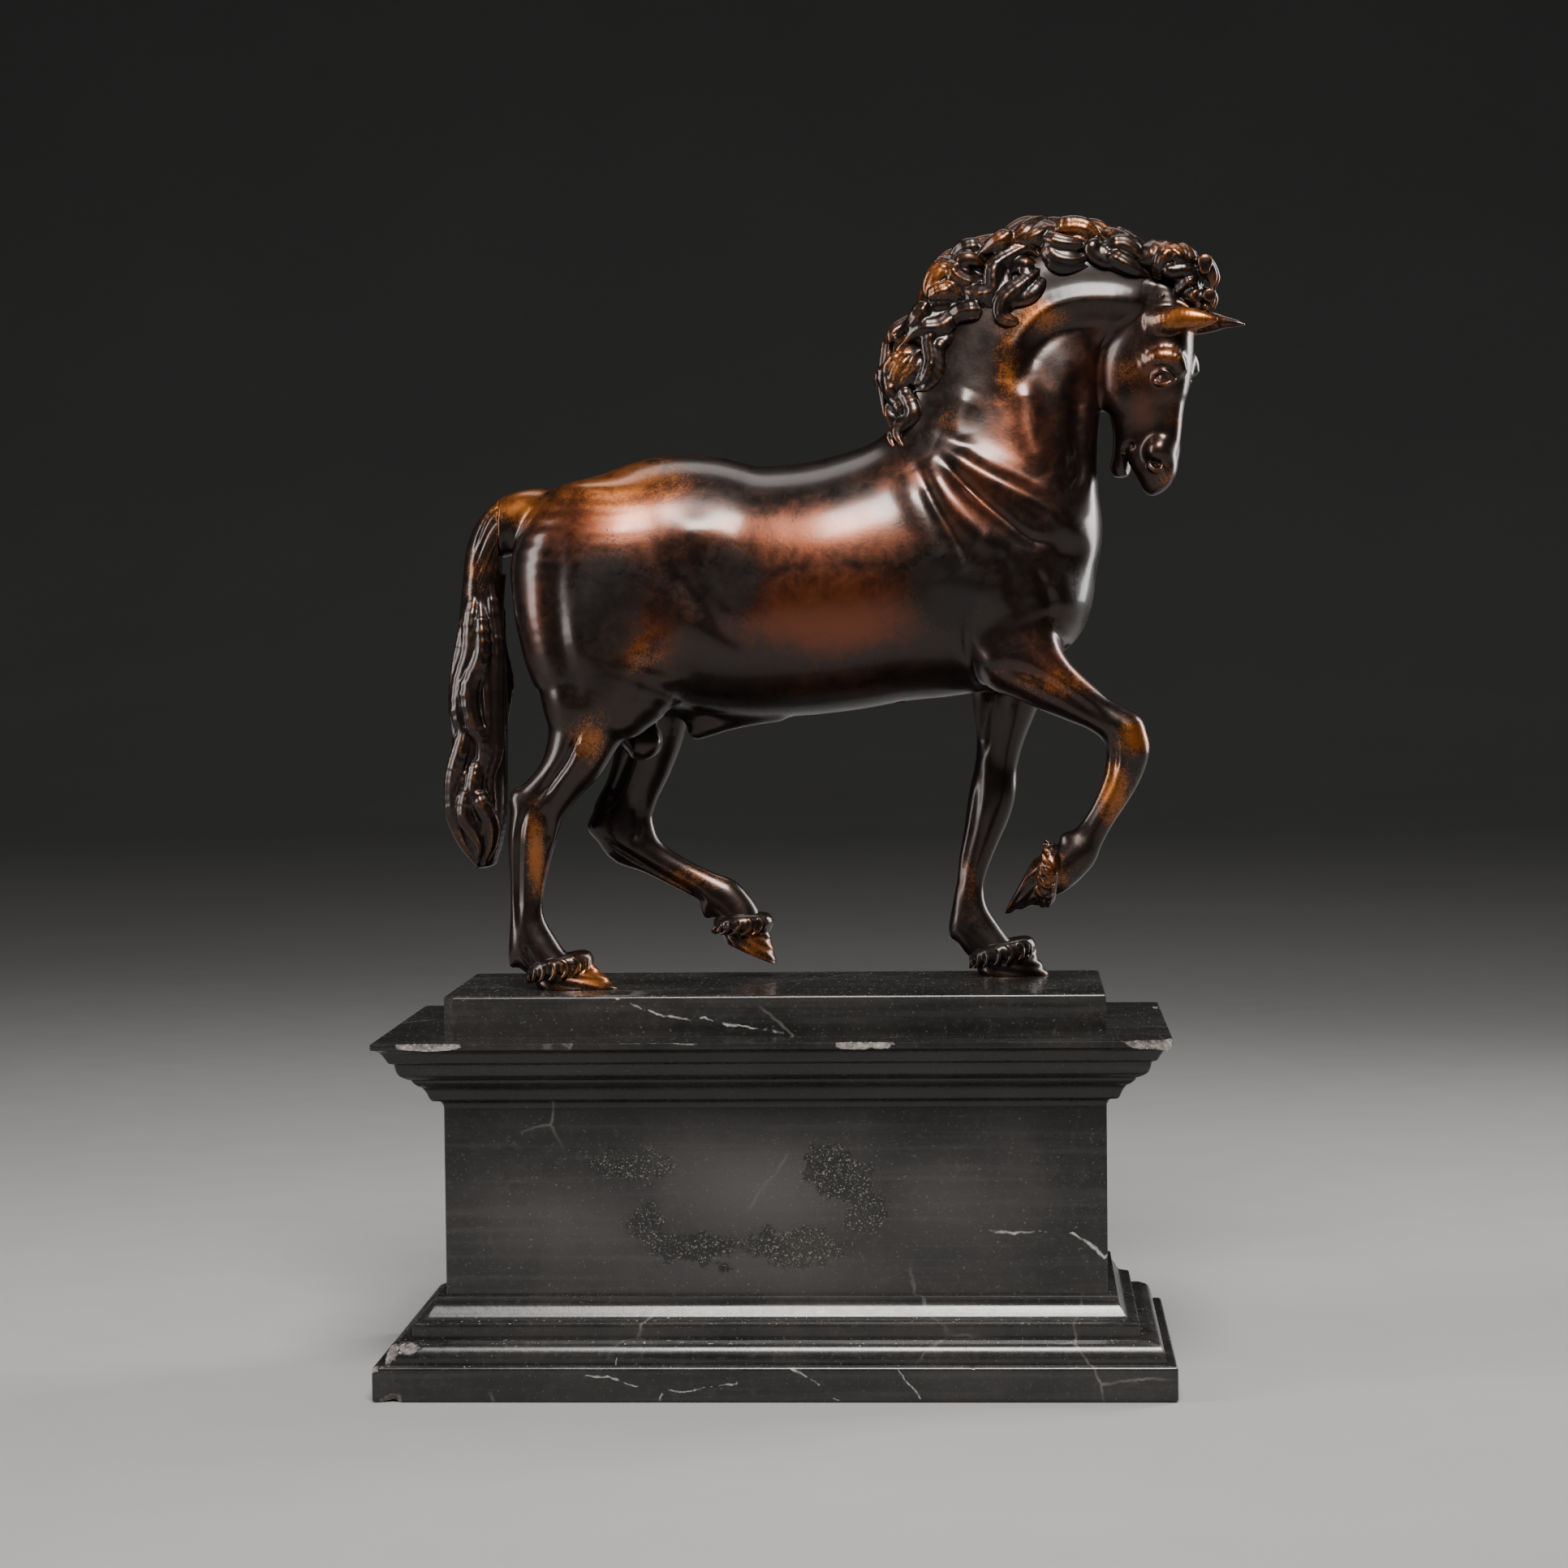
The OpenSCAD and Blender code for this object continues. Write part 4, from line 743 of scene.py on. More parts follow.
REDDENED = [
    (18, 118, 28, 14, 1.1, 0), (10, 140, 34, 12, 0.75, 0), (-50, 150, 24, 16, 1.0, 0), (-40, 112, 14, 14, 0.6, 0),
    (78, 172, 14, 24, 0.6, 0), (62, 152, 12, 14, 0.6, 0), (88, 100, 20, 12, 0.5, -1), (-74, 120, 6, 20, 0.4, 0),
    (100, 190, 12, 20, 0.4, 0), (40, 160, 16, 8, 0.4, 0), (118, 180, 10, 20, 0.4, 0), (20, 96, 30, 8, 0.4, 0)]
DARKENED = [
    (98, 219, 18, 7, 1.5, 0), (-51, 121, 12, 18, 1.4, 0), (-12, 128, 11, 12, 1.25, 0), (-34, 120, 8, 10, 0.5, 0),
    (54, 124, 11, 14, 1.4, 0), (97, 125, 6, 14, 0.8, 0), (-50, 50, 10, 12, 0.55, 0), (-78, 14, 8, 10, 0.5, 0),
    (68, 8, 14, 10, 0.9, 1),
    (60, 190, 8, 14, 0.55, 0), (66, 126, 8, 8, 0.5, 0), (-70, 105, 6, 14, 0.4, 0), (30, 100, 12, 6, 0.5, 0),
    (92, 160, 6, 16, 0.5, 0), (45, 170, 10, 8, 0.6, 0), (-62, 95, 8, 10, 0.4, 0), (-20, 96, 20, 8, 0.5, 0),
    (90, 110, 5, 8, 0.5, 0), (68, 60, 6, 20, 0.4, 1), (104, 200, 8, 8, 0.3, 0)]


def paint(points, spots):
    """How strongly each point lies in soft round spots drawn in side view."""
    total = np.zeros(len(points))
    side = np.clip(points[:, 1] / 6, -1, 1)
    for x, z, rx, rz, strength, *face in spots:
        fall = np.exp(-((points[:, 0] - x) / rx) ** 2 - ((points[:, 2] - z) / rz) ** 2)
        seen = np.clip(0.5 + face[0] * side, 0, 1) if face and face[0] else 1
        total = np.maximum(total, strength * fall * seen)
    return total


def set_values(mesh, **layers):
    """Gives each point of a mesh the values that its material reads."""
    mesh.polygons.foreach_set("use_smooth", np.ones(len(mesh.polygons), bool))
    for key, values in layers.items():
        mesh.attributes.new(key, "FLOAT", "POINT").data.foreach_set("value", values.astype(np.float32))


def cast(name, clay, node, place=None, wear=1.0):
    """Skins the clay and makes it a bronze piece in metres, in the CAD frame."""
    points, quads = clay.skin()
    normals = clay.slope(points)
    normals /= np.maximum(np.linalg.norm(normals, axis=1, keepdims=True), 1e-6)
    relief = swell(points, quads, normals, 4) / (clay.step * clay.step) * wear
    if place is not None:
        points = place(points)
    mesh = bpy.data.meshes.new(name)
    mesh.from_pydata(((points + [0, MID_Y, PLINTH_TOP]) / 1000).tolist(), [], quads.tolist())
    set_values(mesh, relief=relief, rubbed=paint(points, RUBBED), reddened=paint(points, REDDENED),
               darkened=paint(points, DARKENED))
    return piece(name, mesh, node, bronze)


def piece(name, mesh, node, material):
    obj = bpy.data.objects.new(name, mesh)
    bpy.context.scene.collection.objects.link(obj)
    mesh.materials.append(material)
    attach(obj, "root")
    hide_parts(node)
    return obj


# ---------------------------------------------------------------- materials

class Shader:
    """A material and short ways to add nodes to it."""

    def __init__(self, name):
        self.material = bpy.data.materials.new(name)
        self.material.use_nodes = True
        self.tree = self.material.node_tree
        self.surface = self.tree.nodes["Principled BSDF"]
        self.at = self.add("ShaderNodeTexCoord").outputs["Object"]

    def add(self, kind, **settings):
        node = self.tree.nodes.new(kind)
        for key, value in settings.items():
            setattr(node, key, value)
        return node

    def put(self, socket, value):
        if isinstance(value, bpy.types.NodeSocket):
            self.tree.links.new(value, socket)
        else:
            socket.default_value = value

    def math(self, how, a, b=0.0, c=0.0, clamp=False):
        node = self.add("ShaderNodeMath", operation=how, use_clamp=clamp)
        for socket, value in zip(node.inputs, (a, b, c)):
            self.put(socket, value)
        return node.outputs[0]

    def times(self, a, b):
        return self.math("MULTIPLY", a, b)

    def plus(self, a, b):
        return self.math("ADD", a, b)

    def vector(self, how, a, b=(0, 0, 0)):
        node = self.add("ShaderNodeVectorMath", operation=how)
        self.put(node.inputs[0], a)
        self.put(node.inputs[1], b)
        return node.outputs["Value" if how in ("LENGTH", "DOT_PRODUCT", "DISTANCE") else "Vector"]

    def noise(self, scale, detail=4.0, rough=0.55, distort=0.0, at=None, colour=False):
        node = self.add("ShaderNodeTexNoise")
        self.put(node.inputs["Vector"], self.at if at is None else at)
        self.put(node.inputs["Scale"], scale)
        self.put(node.inputs["Detail"], detail)
        self.put(node.inputs["Roughness"], rough)
        self.put(node.inputs["Distortion"], distort)
        return node.outputs["Color" if colour else 0]

    def ramp(self, value, low, high, from_=0.0, to=1.0):
        node = self.add("ShaderNodeMapRange", interpolation_type="SMOOTHSTEP")
        for socket, v in zip(node.inputs, (value, low, high, from_, to)):
            self.put(socket, v)
        return node.outputs[0]

    def mix(self, amount, a, b):
        node = self.add("ShaderNodeMix", data_type="RGBA")
        node.clamp_factor = True
        for socket, v in zip((node.inputs[0], node.inputs[6], node.inputs[7]), (amount, a, b)):
            self.put(socket, (*v, 1) if isinstance(v, tuple) and len(v) == 3 else v)
        return node.outputs[2]

    def attribute(self, name):
        return self.add("ShaderNodeAttribute", attribute_name=name).outputs["Fac"]

    def bump(self, height, strength, distance):
        node = self.add("ShaderNodeBump")
        self.put(node.inputs["Height"], height)
        node.inputs["Strength"].default_value = strength
        node.inputs["Distance"].default_value = distance
        self.put(self.surface.inputs["Normal"], node.outputs[0])

    def finish(self, **inputs):
        for key, value in inputs.items():
            if isinstance(value, tuple) and len(value) == 3:
                value = (*value, 1)
            self.put(self.surface.inputs[key.replace("_", " ")], value)
        return self.material


def bronze_material():
    """Dark lacquered bronze: near black in the hollows, red-brown on the flanks, worn to gold on the ridges."""
    s = Shader("patinated bronze")
    big = s.noise(38, 5, 0.6)
    mid = s.noise(170, 6, 0.65, 0.4)
    fine = s.noise(900, 4, 0.7)
    specks = s.noise(2300, 2, 0.5)
    relief = s.attribute("relief")
    ridge = s.ramp(relief, 0.2, 0.9)
    hollow = s.ramp(relief, -0.12, -0.75)
    crumbs = s.times(s.math("SUBTRACT", specks, 0.5), 1.2)
    mottle = s.plus(s.times(s.math("SUBTRACT", mid, 0.5), 1.5),
                    s.times(s.math("SUBTRACT", big, 0.5), 1.1))
    red = s.plus(s.attribute("reddened"), s.times(mottle, 0.55))
    red = s.ramp(red, 0.05, 0.95)
    dark = s.plus(s.attribute("darkened"), mottle)
    dark = s.plus(dark, s.times(s.math("SUBTRACT", fine, 0.5), 1.6))
    dark = s.ramp(s.plus(dark, crumbs), 0.40, 0.74)
    gold = s.plus(s.attribute("rubbed"), s.times(mottle, 0.6))
    gold = s.plus(gold, s.times(s.math("SUBTRACT", fine, 0.5), 0.9))
    gold = s.ramp(s.plus(gold, crumbs), 0.25, 0.9)
    gold = s.math("MAXIMUM", gold, s.times(ridge, s.ramp(mid, 0.35, 0.65, 0.05, 0.65)))
    colour = s.mix(red, (0.025, 0.016, 0.013), (0.150, 0.038, 0.013))
    colour = s.mix(s.times(gold, 0.9), colour, (0.33, 0.098, 0.014))
    colour = s.mix(s.times(dark, 0.9), colour, (0.014, 0.011, 0.010))
    colour = s.mix(hollow, colour, (0.009, 0.006, 0.005))
    dust = s.times(s.ramp(relief, -0.55, -1.4), s.ramp(mid, 0.46, 0.62))
    colour = s.mix(s.times(dust, 0.55), colour, (0.27, 0.215, 0.15))
    pits = s.ramp(specks, 0.66, 0.76)
    colour = s.mix(s.times(pits, 0.5), colour, (0.012, 0.010, 0.010))
    rough = s.plus(s.ramp(mid, 0.25, 0.75, 0.25, 0.40), s.times(dark, 0.16))
    rough = s.plus(rough, s.times(hollow, 0.2))
    s.bump(s.plus(s.times(fine, 0.5), s.times(mid, 0.6)), 0.35, 0.0002)
    return s.finish(Base_Color=colour, Metallic=0.86, Roughness=rough, Coat_Weight=0.5, Coat_Roughness=0.18,
                    Coat_IOR=1.5)


def marble_material():
    """Black marble, polished but scuffed, with fine pale veins, dust and pale stone where it's chipped."""
    s = Shader("black marble")
    warp = s.vector("ADD", s.at, s.vector("MULTIPLY", s.vector("SUBTRACT", s.noise(55, 4, 0.6, colour=True),
                                                               (0.5, 0.5, 0.5)), (0.007, 0.007, 0.007)))
    cloud = s.noise(24, 6, 0.62, 0.5)
    fine = s.noise(420, 6, 0.7)
    grain = s.noise(1900, 3, 0.6)
    colour = s.mix(s.ramp(cloud, 0.35, 0.7), (0.007, 0.0065, 0.006), (0.019, 0.017, 0.0155))
    colour = s.mix(s.times(s.ramp(fine, 0.5, 0.75), 0.35), colour, (0.045, 0.041, 0.038))

    def vein(a, b, width, strength, tint=(0.42, 0.40, 0.38)):
        """A pale hairline near the line from a to b, in millimetres."""
        nonlocal colour
        a, b = Vector(a) / 1000, Vector(b) / 1000
        run = b - a
        off = s.vector("SUBTRACT", warp, tuple(a))
        t = s.math("DIVIDE", s.vector("DOT_PRODUCT", off, tuple(run)), run.length_squared, clamp=True)
        scaled = s.add("ShaderNodeVectorMath", operation="SCALE")
        scaled.inputs[0].default_value = run
        s.put(scaled.inputs["Scale"], t)
        away = s.vector("DISTANCE", off, scaled.outputs[0])
        thick = s.times(s.ramp(s.noise(260, 3), 0.3, 0.7, 0.5, 1.4), width / 1000)
        core = s.math("SUBTRACT", 1.0, s.math("DIVIDE", away, thick), clamp=True)
        broken = s.ramp(s.noise(150, 4), 0.25, 0.45)
        colour = s.mix(s.times(s.times(core, broken), strength), colour, tint)

    for line in VEINS:
        vein(*line)
    cells = s.add("ShaderNodeTexVoronoi", feature="DISTANCE_TO_EDGE")
    s.put(cells.inputs["Vector"], warp)
    s.put(cells.inputs["Scale"], 17.0)
    web = s.times(s.ramp(cells.outputs["Distance"], 0.012, 0.0), s.ramp(s.noise(30, 3), 0.52, 0.66))
    colour = s.mix(s.times(web, 0.30), colour, (0.30, 0.28, 0.26))
    # Etched bloom, streaks of old polish, a painted sheen, dust and chips.
    scuff = s.attribute("scuffed")
    torn = s.plus(scuff, s.times(s.math("SUBTRACT", s.noise(75, 8, 0.72), 0.5), 2.2))
    etched = s.times(s.ramp(torn, 0.48, 0.62), s.ramp(scuff, 0.03, 0.3))
    stretched = s.vector("MULTIPLY", s.at, (14.0, 60.0, 380.0))
    streak = s.noise(1.0, 5, 0.6, at=stretched)
    colour = s.mix(s.times(s.ramp(streak, 0.45, 0.8), 0.4), colour, (0.046, 0.041, 0.037))
    # Painted sheen: the die is made lighter where a reflection would lie.
    colour = s.mix(s.times(s.attribute("hazed"), 0.8), colour, (0.062, 0.057, 0.054))
    colour = s.mix(etched, colour, s.mix(s.ramp(cloud, 0.4, 0.6), (0.005, 0.0045, 0.004), (0.018, 0.016, 0.014)))
    crumbs = s.ramp(s.noise(1500, 3, 0.7), 0.56, 0.66)
    colour = s.mix(s.times(etched, s.times(crumbs, 0.6)), colour, (0.26, 0.24, 0.21))
    normal = s.add("ShaderNodeSeparateXYZ")
    s.put(normal.inputs[0], s.add("ShaderNodeNewGeometry").outputs["Normal"])
    flat = s.ramp(normal.outputs["Z"], 0.6, 0.95)
    specks = s.times(s.ramp(s.noise(1250, 2, 0.5), 0.68, 0.72), s.plus(0.12, s.times(flat, 0.75)))
    colour = s.mix(specks, colour, (0.42, 0.40, 0.37))
    chip = s.attribute("chipped")
    broken = s.mix(s.ramp(fine, 0.35, 0.7), (0.07, 0.060, 0.052), (0.21, 0.18, 0.155))
    colour = s.mix(s.ramp(chip, 0.3, 0.7), colour, broken)
    rough = s.ramp(s.plus(s.times(streak, 0.6), s.times(fine, 0.4)), 0.3, 0.75, 0.20, 0.36)
    rough = s.plus(rough, s.times(etched, 0.25))
    rough = s.math("ADD", rough, s.times(chip, 0.35), clamp=True)
    relief = s.plus(s.times(fine, 0.5), s.times(s.times(grain, etched), 0.7))
    s.bump(relief, 0.25, 0.00025)
    return s.finish(Base_Color=colour, Roughness=rough, Coat_Weight=0.1, Coat_Roughness=0.12, Specular_IOR_Level=0.5)


def metal_material(name, dark, light, metallic, rough, turned=False):
    """A hidden metal fitting: mottled, scratched and slightly tarnished."""
    s = Shader(name)
    big, fine = s.noise(240, 5, 0.65), s.noise(1800, 4, 0.7)
    lines = s.noise(1.0, 3, 0.5, at=s.vector("MULTIPLY", s.at, (300.0, 300.0, 5200.0) if turned else (900.0,) * 3))
    colour = s.mix(s.ramp(big, 0.3, 0.7), dark, light)
    colour = s.mix(s.times(s.ramp(fine, 0.6, 0.75), 0.4), colour, tuple(v * 0.35 for v in dark))
    amount = s.plus(s.ramp(big, 0.3, 0.7, rough - 0.08, rough + 0.12), s.times(lines, 0.08))
    s.bump(s.plus(lines, s.times(fine, 0.6)), 0.3, 0.0001)
    return s.finish(Base_Color=colour, Metallic=metallic, Roughness=amount)


def felt_material():
    s = Shader("green felt")
    big, fibre = s.noise(60, 5, 0.6), s.noise(2600, 4, 0.75, 1.2)
    colour = s.mix(s.ramp(big, 0.3, 0.7), (0.016, 0.045, 0.022), (0.032, 0.075, 0.036))
    colour = s.mix(s.times(s.ramp(fibre, 0.45, 0.7), 0.6), colour, (0.075, 0.12, 0.07))
    s.bump(s.plus(fibre, s.times(big, 0.4)), 0.6, 0.0004)
    return s.finish(Base_Color=colour, Roughness=s.ramp(fibre, 0.3, 0.7, 0.82, 0.97), Sheen_Weight=0.3)


# Veins and cracks: runs of x, y and z, how wide and how strong.
VEINS = []
for y, wide, strong, run in (
        (-39.5, 0.5, 0.95, [(-49, 121), (-36, 117), (-25, 114), (-21, 115), (-15, 113), (5, 110)]),
        (-39.5, 0.55, 0.9, [(63, 50), (73, 48), (80, 49), (91, 48), (95, 45), (100, 41), (102, 44)]),
        (-60, 0.35, 0.8, [(-58, 8), (-50, 8), (-42, 6), (-34, 4), (-24, 4), (-11, 7)]),
        (-60, 0.4, 0.9, [(6, 11), (11, 7), (17, 2), (20, 1)]), (-60, 0.35, 0.8, [(37, 11), (41, 5), (44, 1)]),
        (-60, 0.3, 0.7, [(-34, 4), (-34, 0)]), (-57, 0.3, 0.7, [(-46, 18), (-49, 9)]),
        (-57, 0.5, 0.6, [(6, 18), (9, 12)]), (-57, 0.4, 0.7, [(31, 18), (36, 13)]),
        (-54, 0.35, 0.6, [(36, 101), (56, 100)]), (-59, 0.3, 0.5, [(-45, 109), (-18, 110)]),
        (-39.5, 0.25, 0.4, [(-8, 60), (2, 70)])):
    VEINS += [((a[0], y, a[1]), (b[0], y, b[1]), wide, strong) for a, b in zip(run, run[1:])]
# A dark crack across the near left corner of the bottom slab.
for a, b in (((-119, 2), (-115, 7)), ((-115, 7), (-111, 0))):
    VEINS.append(((a[0], -60, a[1]), (b[0], -60, b[1]), 0.7, 1.0, (0.001, 0.001, 0.001)))

bronze = bronze_material()
marble = marble_material()
plug_bronze = metal_material("plug bronze", (0.075, 0.030, 0.014), (0.21, 0.082, 0.030), 0.9, 0.34)
steel = metal_material("turned steel", (0.30, 0.29, 0.28), (0.46, 0.45, 0.43), 1.0, 0.32, True)
iron = metal_material("rusted iron", (0.070, 0.045, 0.034), (0.16, 0.085, 0.050), 0.7, 0.58)
felt = felt_material()


# ---------------------------------------------------------------- pedestal

HALF_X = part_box("die_block")[1].x * 1000
HALF_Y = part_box("die_block")[1].y * 1000
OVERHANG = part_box("cornice_cap")[1].x * 1000 - HALF_X
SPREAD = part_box("bottom_slab")[1].x * 1000 - HALF_X
# How much is taken off an upright corner, and off the plinth's front left one.
ARRIS, PLINTH_CORNER = 0.35, 3.2
# Each profile is a run of strokes from arris to arris: projection beyond the die, height above the block's bed.
PROFILES = {
    "cornice_cap": [[(9.2, 0), (10.5, 0.6), (12, 1.6), (12.8, 3.1), (13.3, 5.2)], [(13.3, 5.2), (14.9, 5.8)],
                    [(14.9, 5.8), (16.1, 7.9), (17.3, 9.4), (19.2, 10.2)], [(19.2, 10.2), (OVERHANG, 10.4)],
                    [(OVERHANG, 10.4), (OVERHANG, 12.2)], [(OVERHANG, 12.2), (6, 12.2), (-3, 12.2)]],
    "cornice_bed": [[(0, 0), (0.2, 0.9), (1.2, 2.2), (3.3, 2.5)], [(3.3, 2.5), (3.9, 3.3)],
                    [(3.9, 3.3), (4.8, 5.4), (6, 7), (6.8, 7.4)], [(6.8, 7.4), (8, 8.4), (8.7, 9.3)],
                    [(8.7, 9.3), (8.7, 9.7)], [(8.7, 9.7), (2, 9.7)]],
    "die_block": [[(0, 0), (0, 58.1)]],
    "base_moulding": [[(9.4, 0), (9.4, 3.9)], [(9.4, 3.9), (8.9, 4.4), (7.2, 4.9), (5.7, 5.6), (4.7, 7.2)],
                      [(4.7, 7.2), (3.6, 8.9), (3.1, 10.5)], [(3.1, 10.5), (3.1, 11.7)], [(3.1, 11.7), (-2, 11.7)]],
    "base_ovolo": [[(17, 0), (16.9, 2), (16.3, 3.9), (15.2, 5.4), (13.6, 6.2)], [(13.6, 6.2), (12.7, 6.6)],
                   [(12.7, 6.6), (7, 6.6)]],
    "bottom_slab": [[(SPREAD - 0.7, 0), (SPREAD, 0.7)], [(SPREAD, 0.7), (SPREAD, 10.4)],
                    [(SPREAD, 10.4), (SPREAD - 0.8, 11.2)], [(SPREAD - 0.8, 11.2), (14, 11.2)]],
    "plinth_block": [[(0, 0), (0, 11.9)], [(0, 11.9), (-0.6, 12.5)], [(-0.6, 12.5), (-10, 12.5), (-30, 12.5)]]}
# Chips in the arrises: centre, the way the broken face looks, how deep it goes, and its reach.
CHIPS = [
    ((-104, -59.2, 109.2), (-0.1, -1, 0.55), 2.0, 8.5), ((-109, -59.2, 109.4), (-0.3, -1, 0.8), 1.4, 5),
    ((-98.5, -59.2, 109.5), (0.3, -1, 0.8), 1.2, 4.5), ((27, -59.2, 109.6), (0, -1, 0.9), 1.8, 7),
    ((32.5, -59.2, 109.4), (0.3, -0.9, 1), 1.4, 5), ((113, -59, 109), (0.1, -1, 0.5), 2.2, 8),
    ((119, -58.5, 109), (0.6, -1, 0.5), 3.0, 9), ((122, -54, 109.6), (1, -0.3, 0.7), 1.6, 6),
    ((-118, -56, 15.5), (-0.7, -1, 0.9), 2.6, 7), ((-112, -56.5, 16), (0.1, -0.9, 0.8), 1.4, 5),
    ((-122.6, -59.6, 10.6), (-0.7, -1, 0.9), 1.6, 5), ((-116, -59.9, 0.8), (-0.1, -1, -0.6), 1.3, 4),
    ((60, -59.9, 11.2), (0, -1, 1), 0.5, 3), ((121, 40, 109.4), (1, 0, 0.8), 1.0, 5),
    ((-60, 59.2, 109.4), (0, 1, 0.8), 1.0, 5), ((-101.8, -39.3, 121), (-1, -0.4, 1), 1.2, 4)]
# Scuffed patches on the die: x, z, reach along x and along z, strength.
SCUFFS = [
    (-46, 70, 17, 7, 0.85), (-40, 52, 8, 7, 0.9), (-24, 45, 18, 6, 0.95), (6, 44, 24, 7, 1.0), (20, 66, 13, 12, 1.0),
    (27, 54, 9, 8, 0.9), (-48, 80, 8, 4, 0.5), (76, 72, 18, 6, 0.4), (-12, 37, 26, 3, 0.5)]
# Where a painted sheen lightens the die in place of a reflection: x, z, reach along x and along z, strength.
PAINTED_SHEEN = [(-4, 62, 34, 17, 1.0), (-62, 52, 30, 14, 0.6), (52, 58, 24, 14, 0.6), (-8, 38, 46, 9, 0.6)]


def outline(p, corner):
    """The block's outline at a projection, walked once round, with its corners just taken off."""
    hx, hy = HALF_X + p, HALF_Y + p
    back = 1.2 if corner > 1 else ARRIS
    cuts = (corner, ARRIS, back, back)
    corners = np.array([(-hx, -hy), (hx, -hy), (hx, hy), (-hx, hy)])
    spots = []
    for k in range(4):
        a, b = corners[k], corners[(k + 1) % 4]
        run = (b - a) / np.linalg.norm(b - a)
        spots.append((a + run * cuts[k], b - run * cuts[(k + 1) % 4]))
    return spots


def steps_along(side, z_low, z_high):
    """Where to put points along a side, from 0 to 1: close together near chips, further apart elsewhere."""
    length = 2 * (HALF_X if side % 2 == 0 else HALF_Y) + 30
    marks = [0.0]
    while marks[-1] < 1:
        t = marks[-1]
        gap = 2.4
        for at, _, _, reach in CHIPS:
            if not z_low - 3 < at[2] < z_high + 3:
                continue
            spot = {0: (at[0] / length + 0.5, at[1] < -HALF_Y), 1: (at[1] / length + 0.5, at[0] > HALF_X - 1),
                    2: (0.5 - at[0] / length, at[1] > HALF_Y), 3: (0.5 - at[1] / length, at[0] < -HALF_X + 1)}[side]
            if spot[1] and abs(t - spot[0]) * length < reach * 1.3 + 3:
                gap = 0.5
        marks.append(t + gap / length)
    return np.array(marks[:-1]) / marks[-1]


def block(node, corner):
    """One marble block: its profile carried round the outline, with real chips broken out of it."""
    z0, z1 = (end.z * 1000 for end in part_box(node))
    rows, chamfer = [], 0.22
    strokes = PROFILES[node]
    fine_step = 4.0 if node == "die_block" else 0.6
    for k, stroke in enumerate(strokes):
        path = smooth(stroke, 6) if len(stroke) > 2 else np.asarray(stroke, float)
        lengths = np.concatenate([[0], np.cumsum(np.linalg.norm(np.diff(path, axis=0), axis=1))])
        start = chamfer if k else 0
        end = lengths[-1] - (chamfer if k < len(strokes) - 1 else 0)
        count = max(2, int(math.ceil((end - start) / fine_step)) + 1)
        marks = np.linspace(start, max(end, start + 0.05), min(count, 60))
        rows += list(np.column_stack([np.interp(marks, lengths, path[:, 0]), np.interp(marks, lengths, path[:, 1])]))
    marks = [steps_along(side, z0, z1) for side in range(4)]
    rings = []
    for p, h in rows:
        ring = []
        for (a, b), m in zip(outline(p, corner), marks):
            ring.append(a + (b - a) * m[:, None])
            ring.append(b[None])
        flat = np.vstack(ring)
        rings.append(np.column_stack([flat, np.full(len(flat), z0 + h)]))
    points = np.vstack(rings)
    n = len(rings[0])
    chipped = np.zeros(len(points))
    for at, look, depth, reach in CHIPS:
        at, look = np.array(at, float), np.array(look, float)
        look /= np.linalg.norm(look)
        near = np.flatnonzero(np.linalg.norm(points - at, axis=1) < reach)
        for facet in range(3):
            face = look + rng.normal(0, 0.22, 3)
            face /= np.linalg.norm(face)
            base = at - look * depth * rng.uniform(0.8, 1.0) + rng.normal(0, reach * 0.18, 3) * (1 - np.abs(look))
            if not len(near):
                continue
            q = points[near]
            fall = np.clip(1.25 - np.linalg.norm(q - at, axis=1) / reach, 0, 1)
            rough = 0.16 * np.sin(q @ np.array([2.1, 1.7, 2.9]) + facet) + 0.1 * np.sin(q @ np.array([5.3, -4.1, 3.7]))
            over = np.clip((q - base) @ face + rough - (1 - fall) * depth * 2.2, 0, None)
            points[near] = q - face * over[:, None]
            chipped[near] = np.maximum(chipped[near], np.clip(over * 3, 0, 1))
    quads = []
    a = np.arange(n)
    b = (a + 1) % n
    for i in range(len(rings) - 1):
        quads.append(np.column_stack([i * n + a, i * n + b, (i + 1) * n + b, (i + 1) * n + a]))
    faces = np.vstack(quads).tolist() + [list(range(n))[::-1], list(range((len(rings) - 1) * n, len(rings) * n))]
    mesh = bpy.data.meshes.new(node)
    mesh.from_pydata((points / 1000).tolist(), [], faces)
    on_die = np.abs(points[:, 1]) < HALF_Y + 1
    # The painted sheen is stored here as lighter spots that stand in for a reflection.
    set_values(mesh, chipped=chipped, scuffed=paint(points, SCUFFS) * on_die, hazed=paint(points, PAINTED_SHEEN) * on_die)
    mesh.set_sharp_from_angle(angle=math.radians(24))
    return piece("marble_" + node, mesh, node, marble)


for name in PROFILES:
    block(name, PLINTH_CORNER if name == "plinth_block" else ARRIS)


# ---------------------------------------------------------------- casting the bronze

STEP = 0.55
body = Clay((-91, -38, 3), (124, 38, 232), STEP)
model_body(body)
line_body(body)

mane = Clay((28, -24, 160), (140, 22, 246), 0.42)
model_mane(mane, body)
forelock = Clay((104, -22, 200), (144, 10, 240), 0.36)
model_forelock(forelock)

head = Clay((-24, -16, 148), (32, 16, 226), 0.34)
model_head(head)
# The head's skin runs out over the neck with a soft fillet.
FILLET = 2.5
near_skin = np.argwhere(head.d < 6)
neck = body.sample(head_to_horse(head.low + near_skin * head.step)) + 0.1
old = head.d[tuple(near_skin.T)]
blend = np.maximum(FILLET - np.abs(old - neck), 0) / FILLET
joined = np.minimum(old, neck) - blend * blend * (FILLET * 0.25)
head.d[tuple(near_skin.T)] = np.maximum(joined, old - 5)

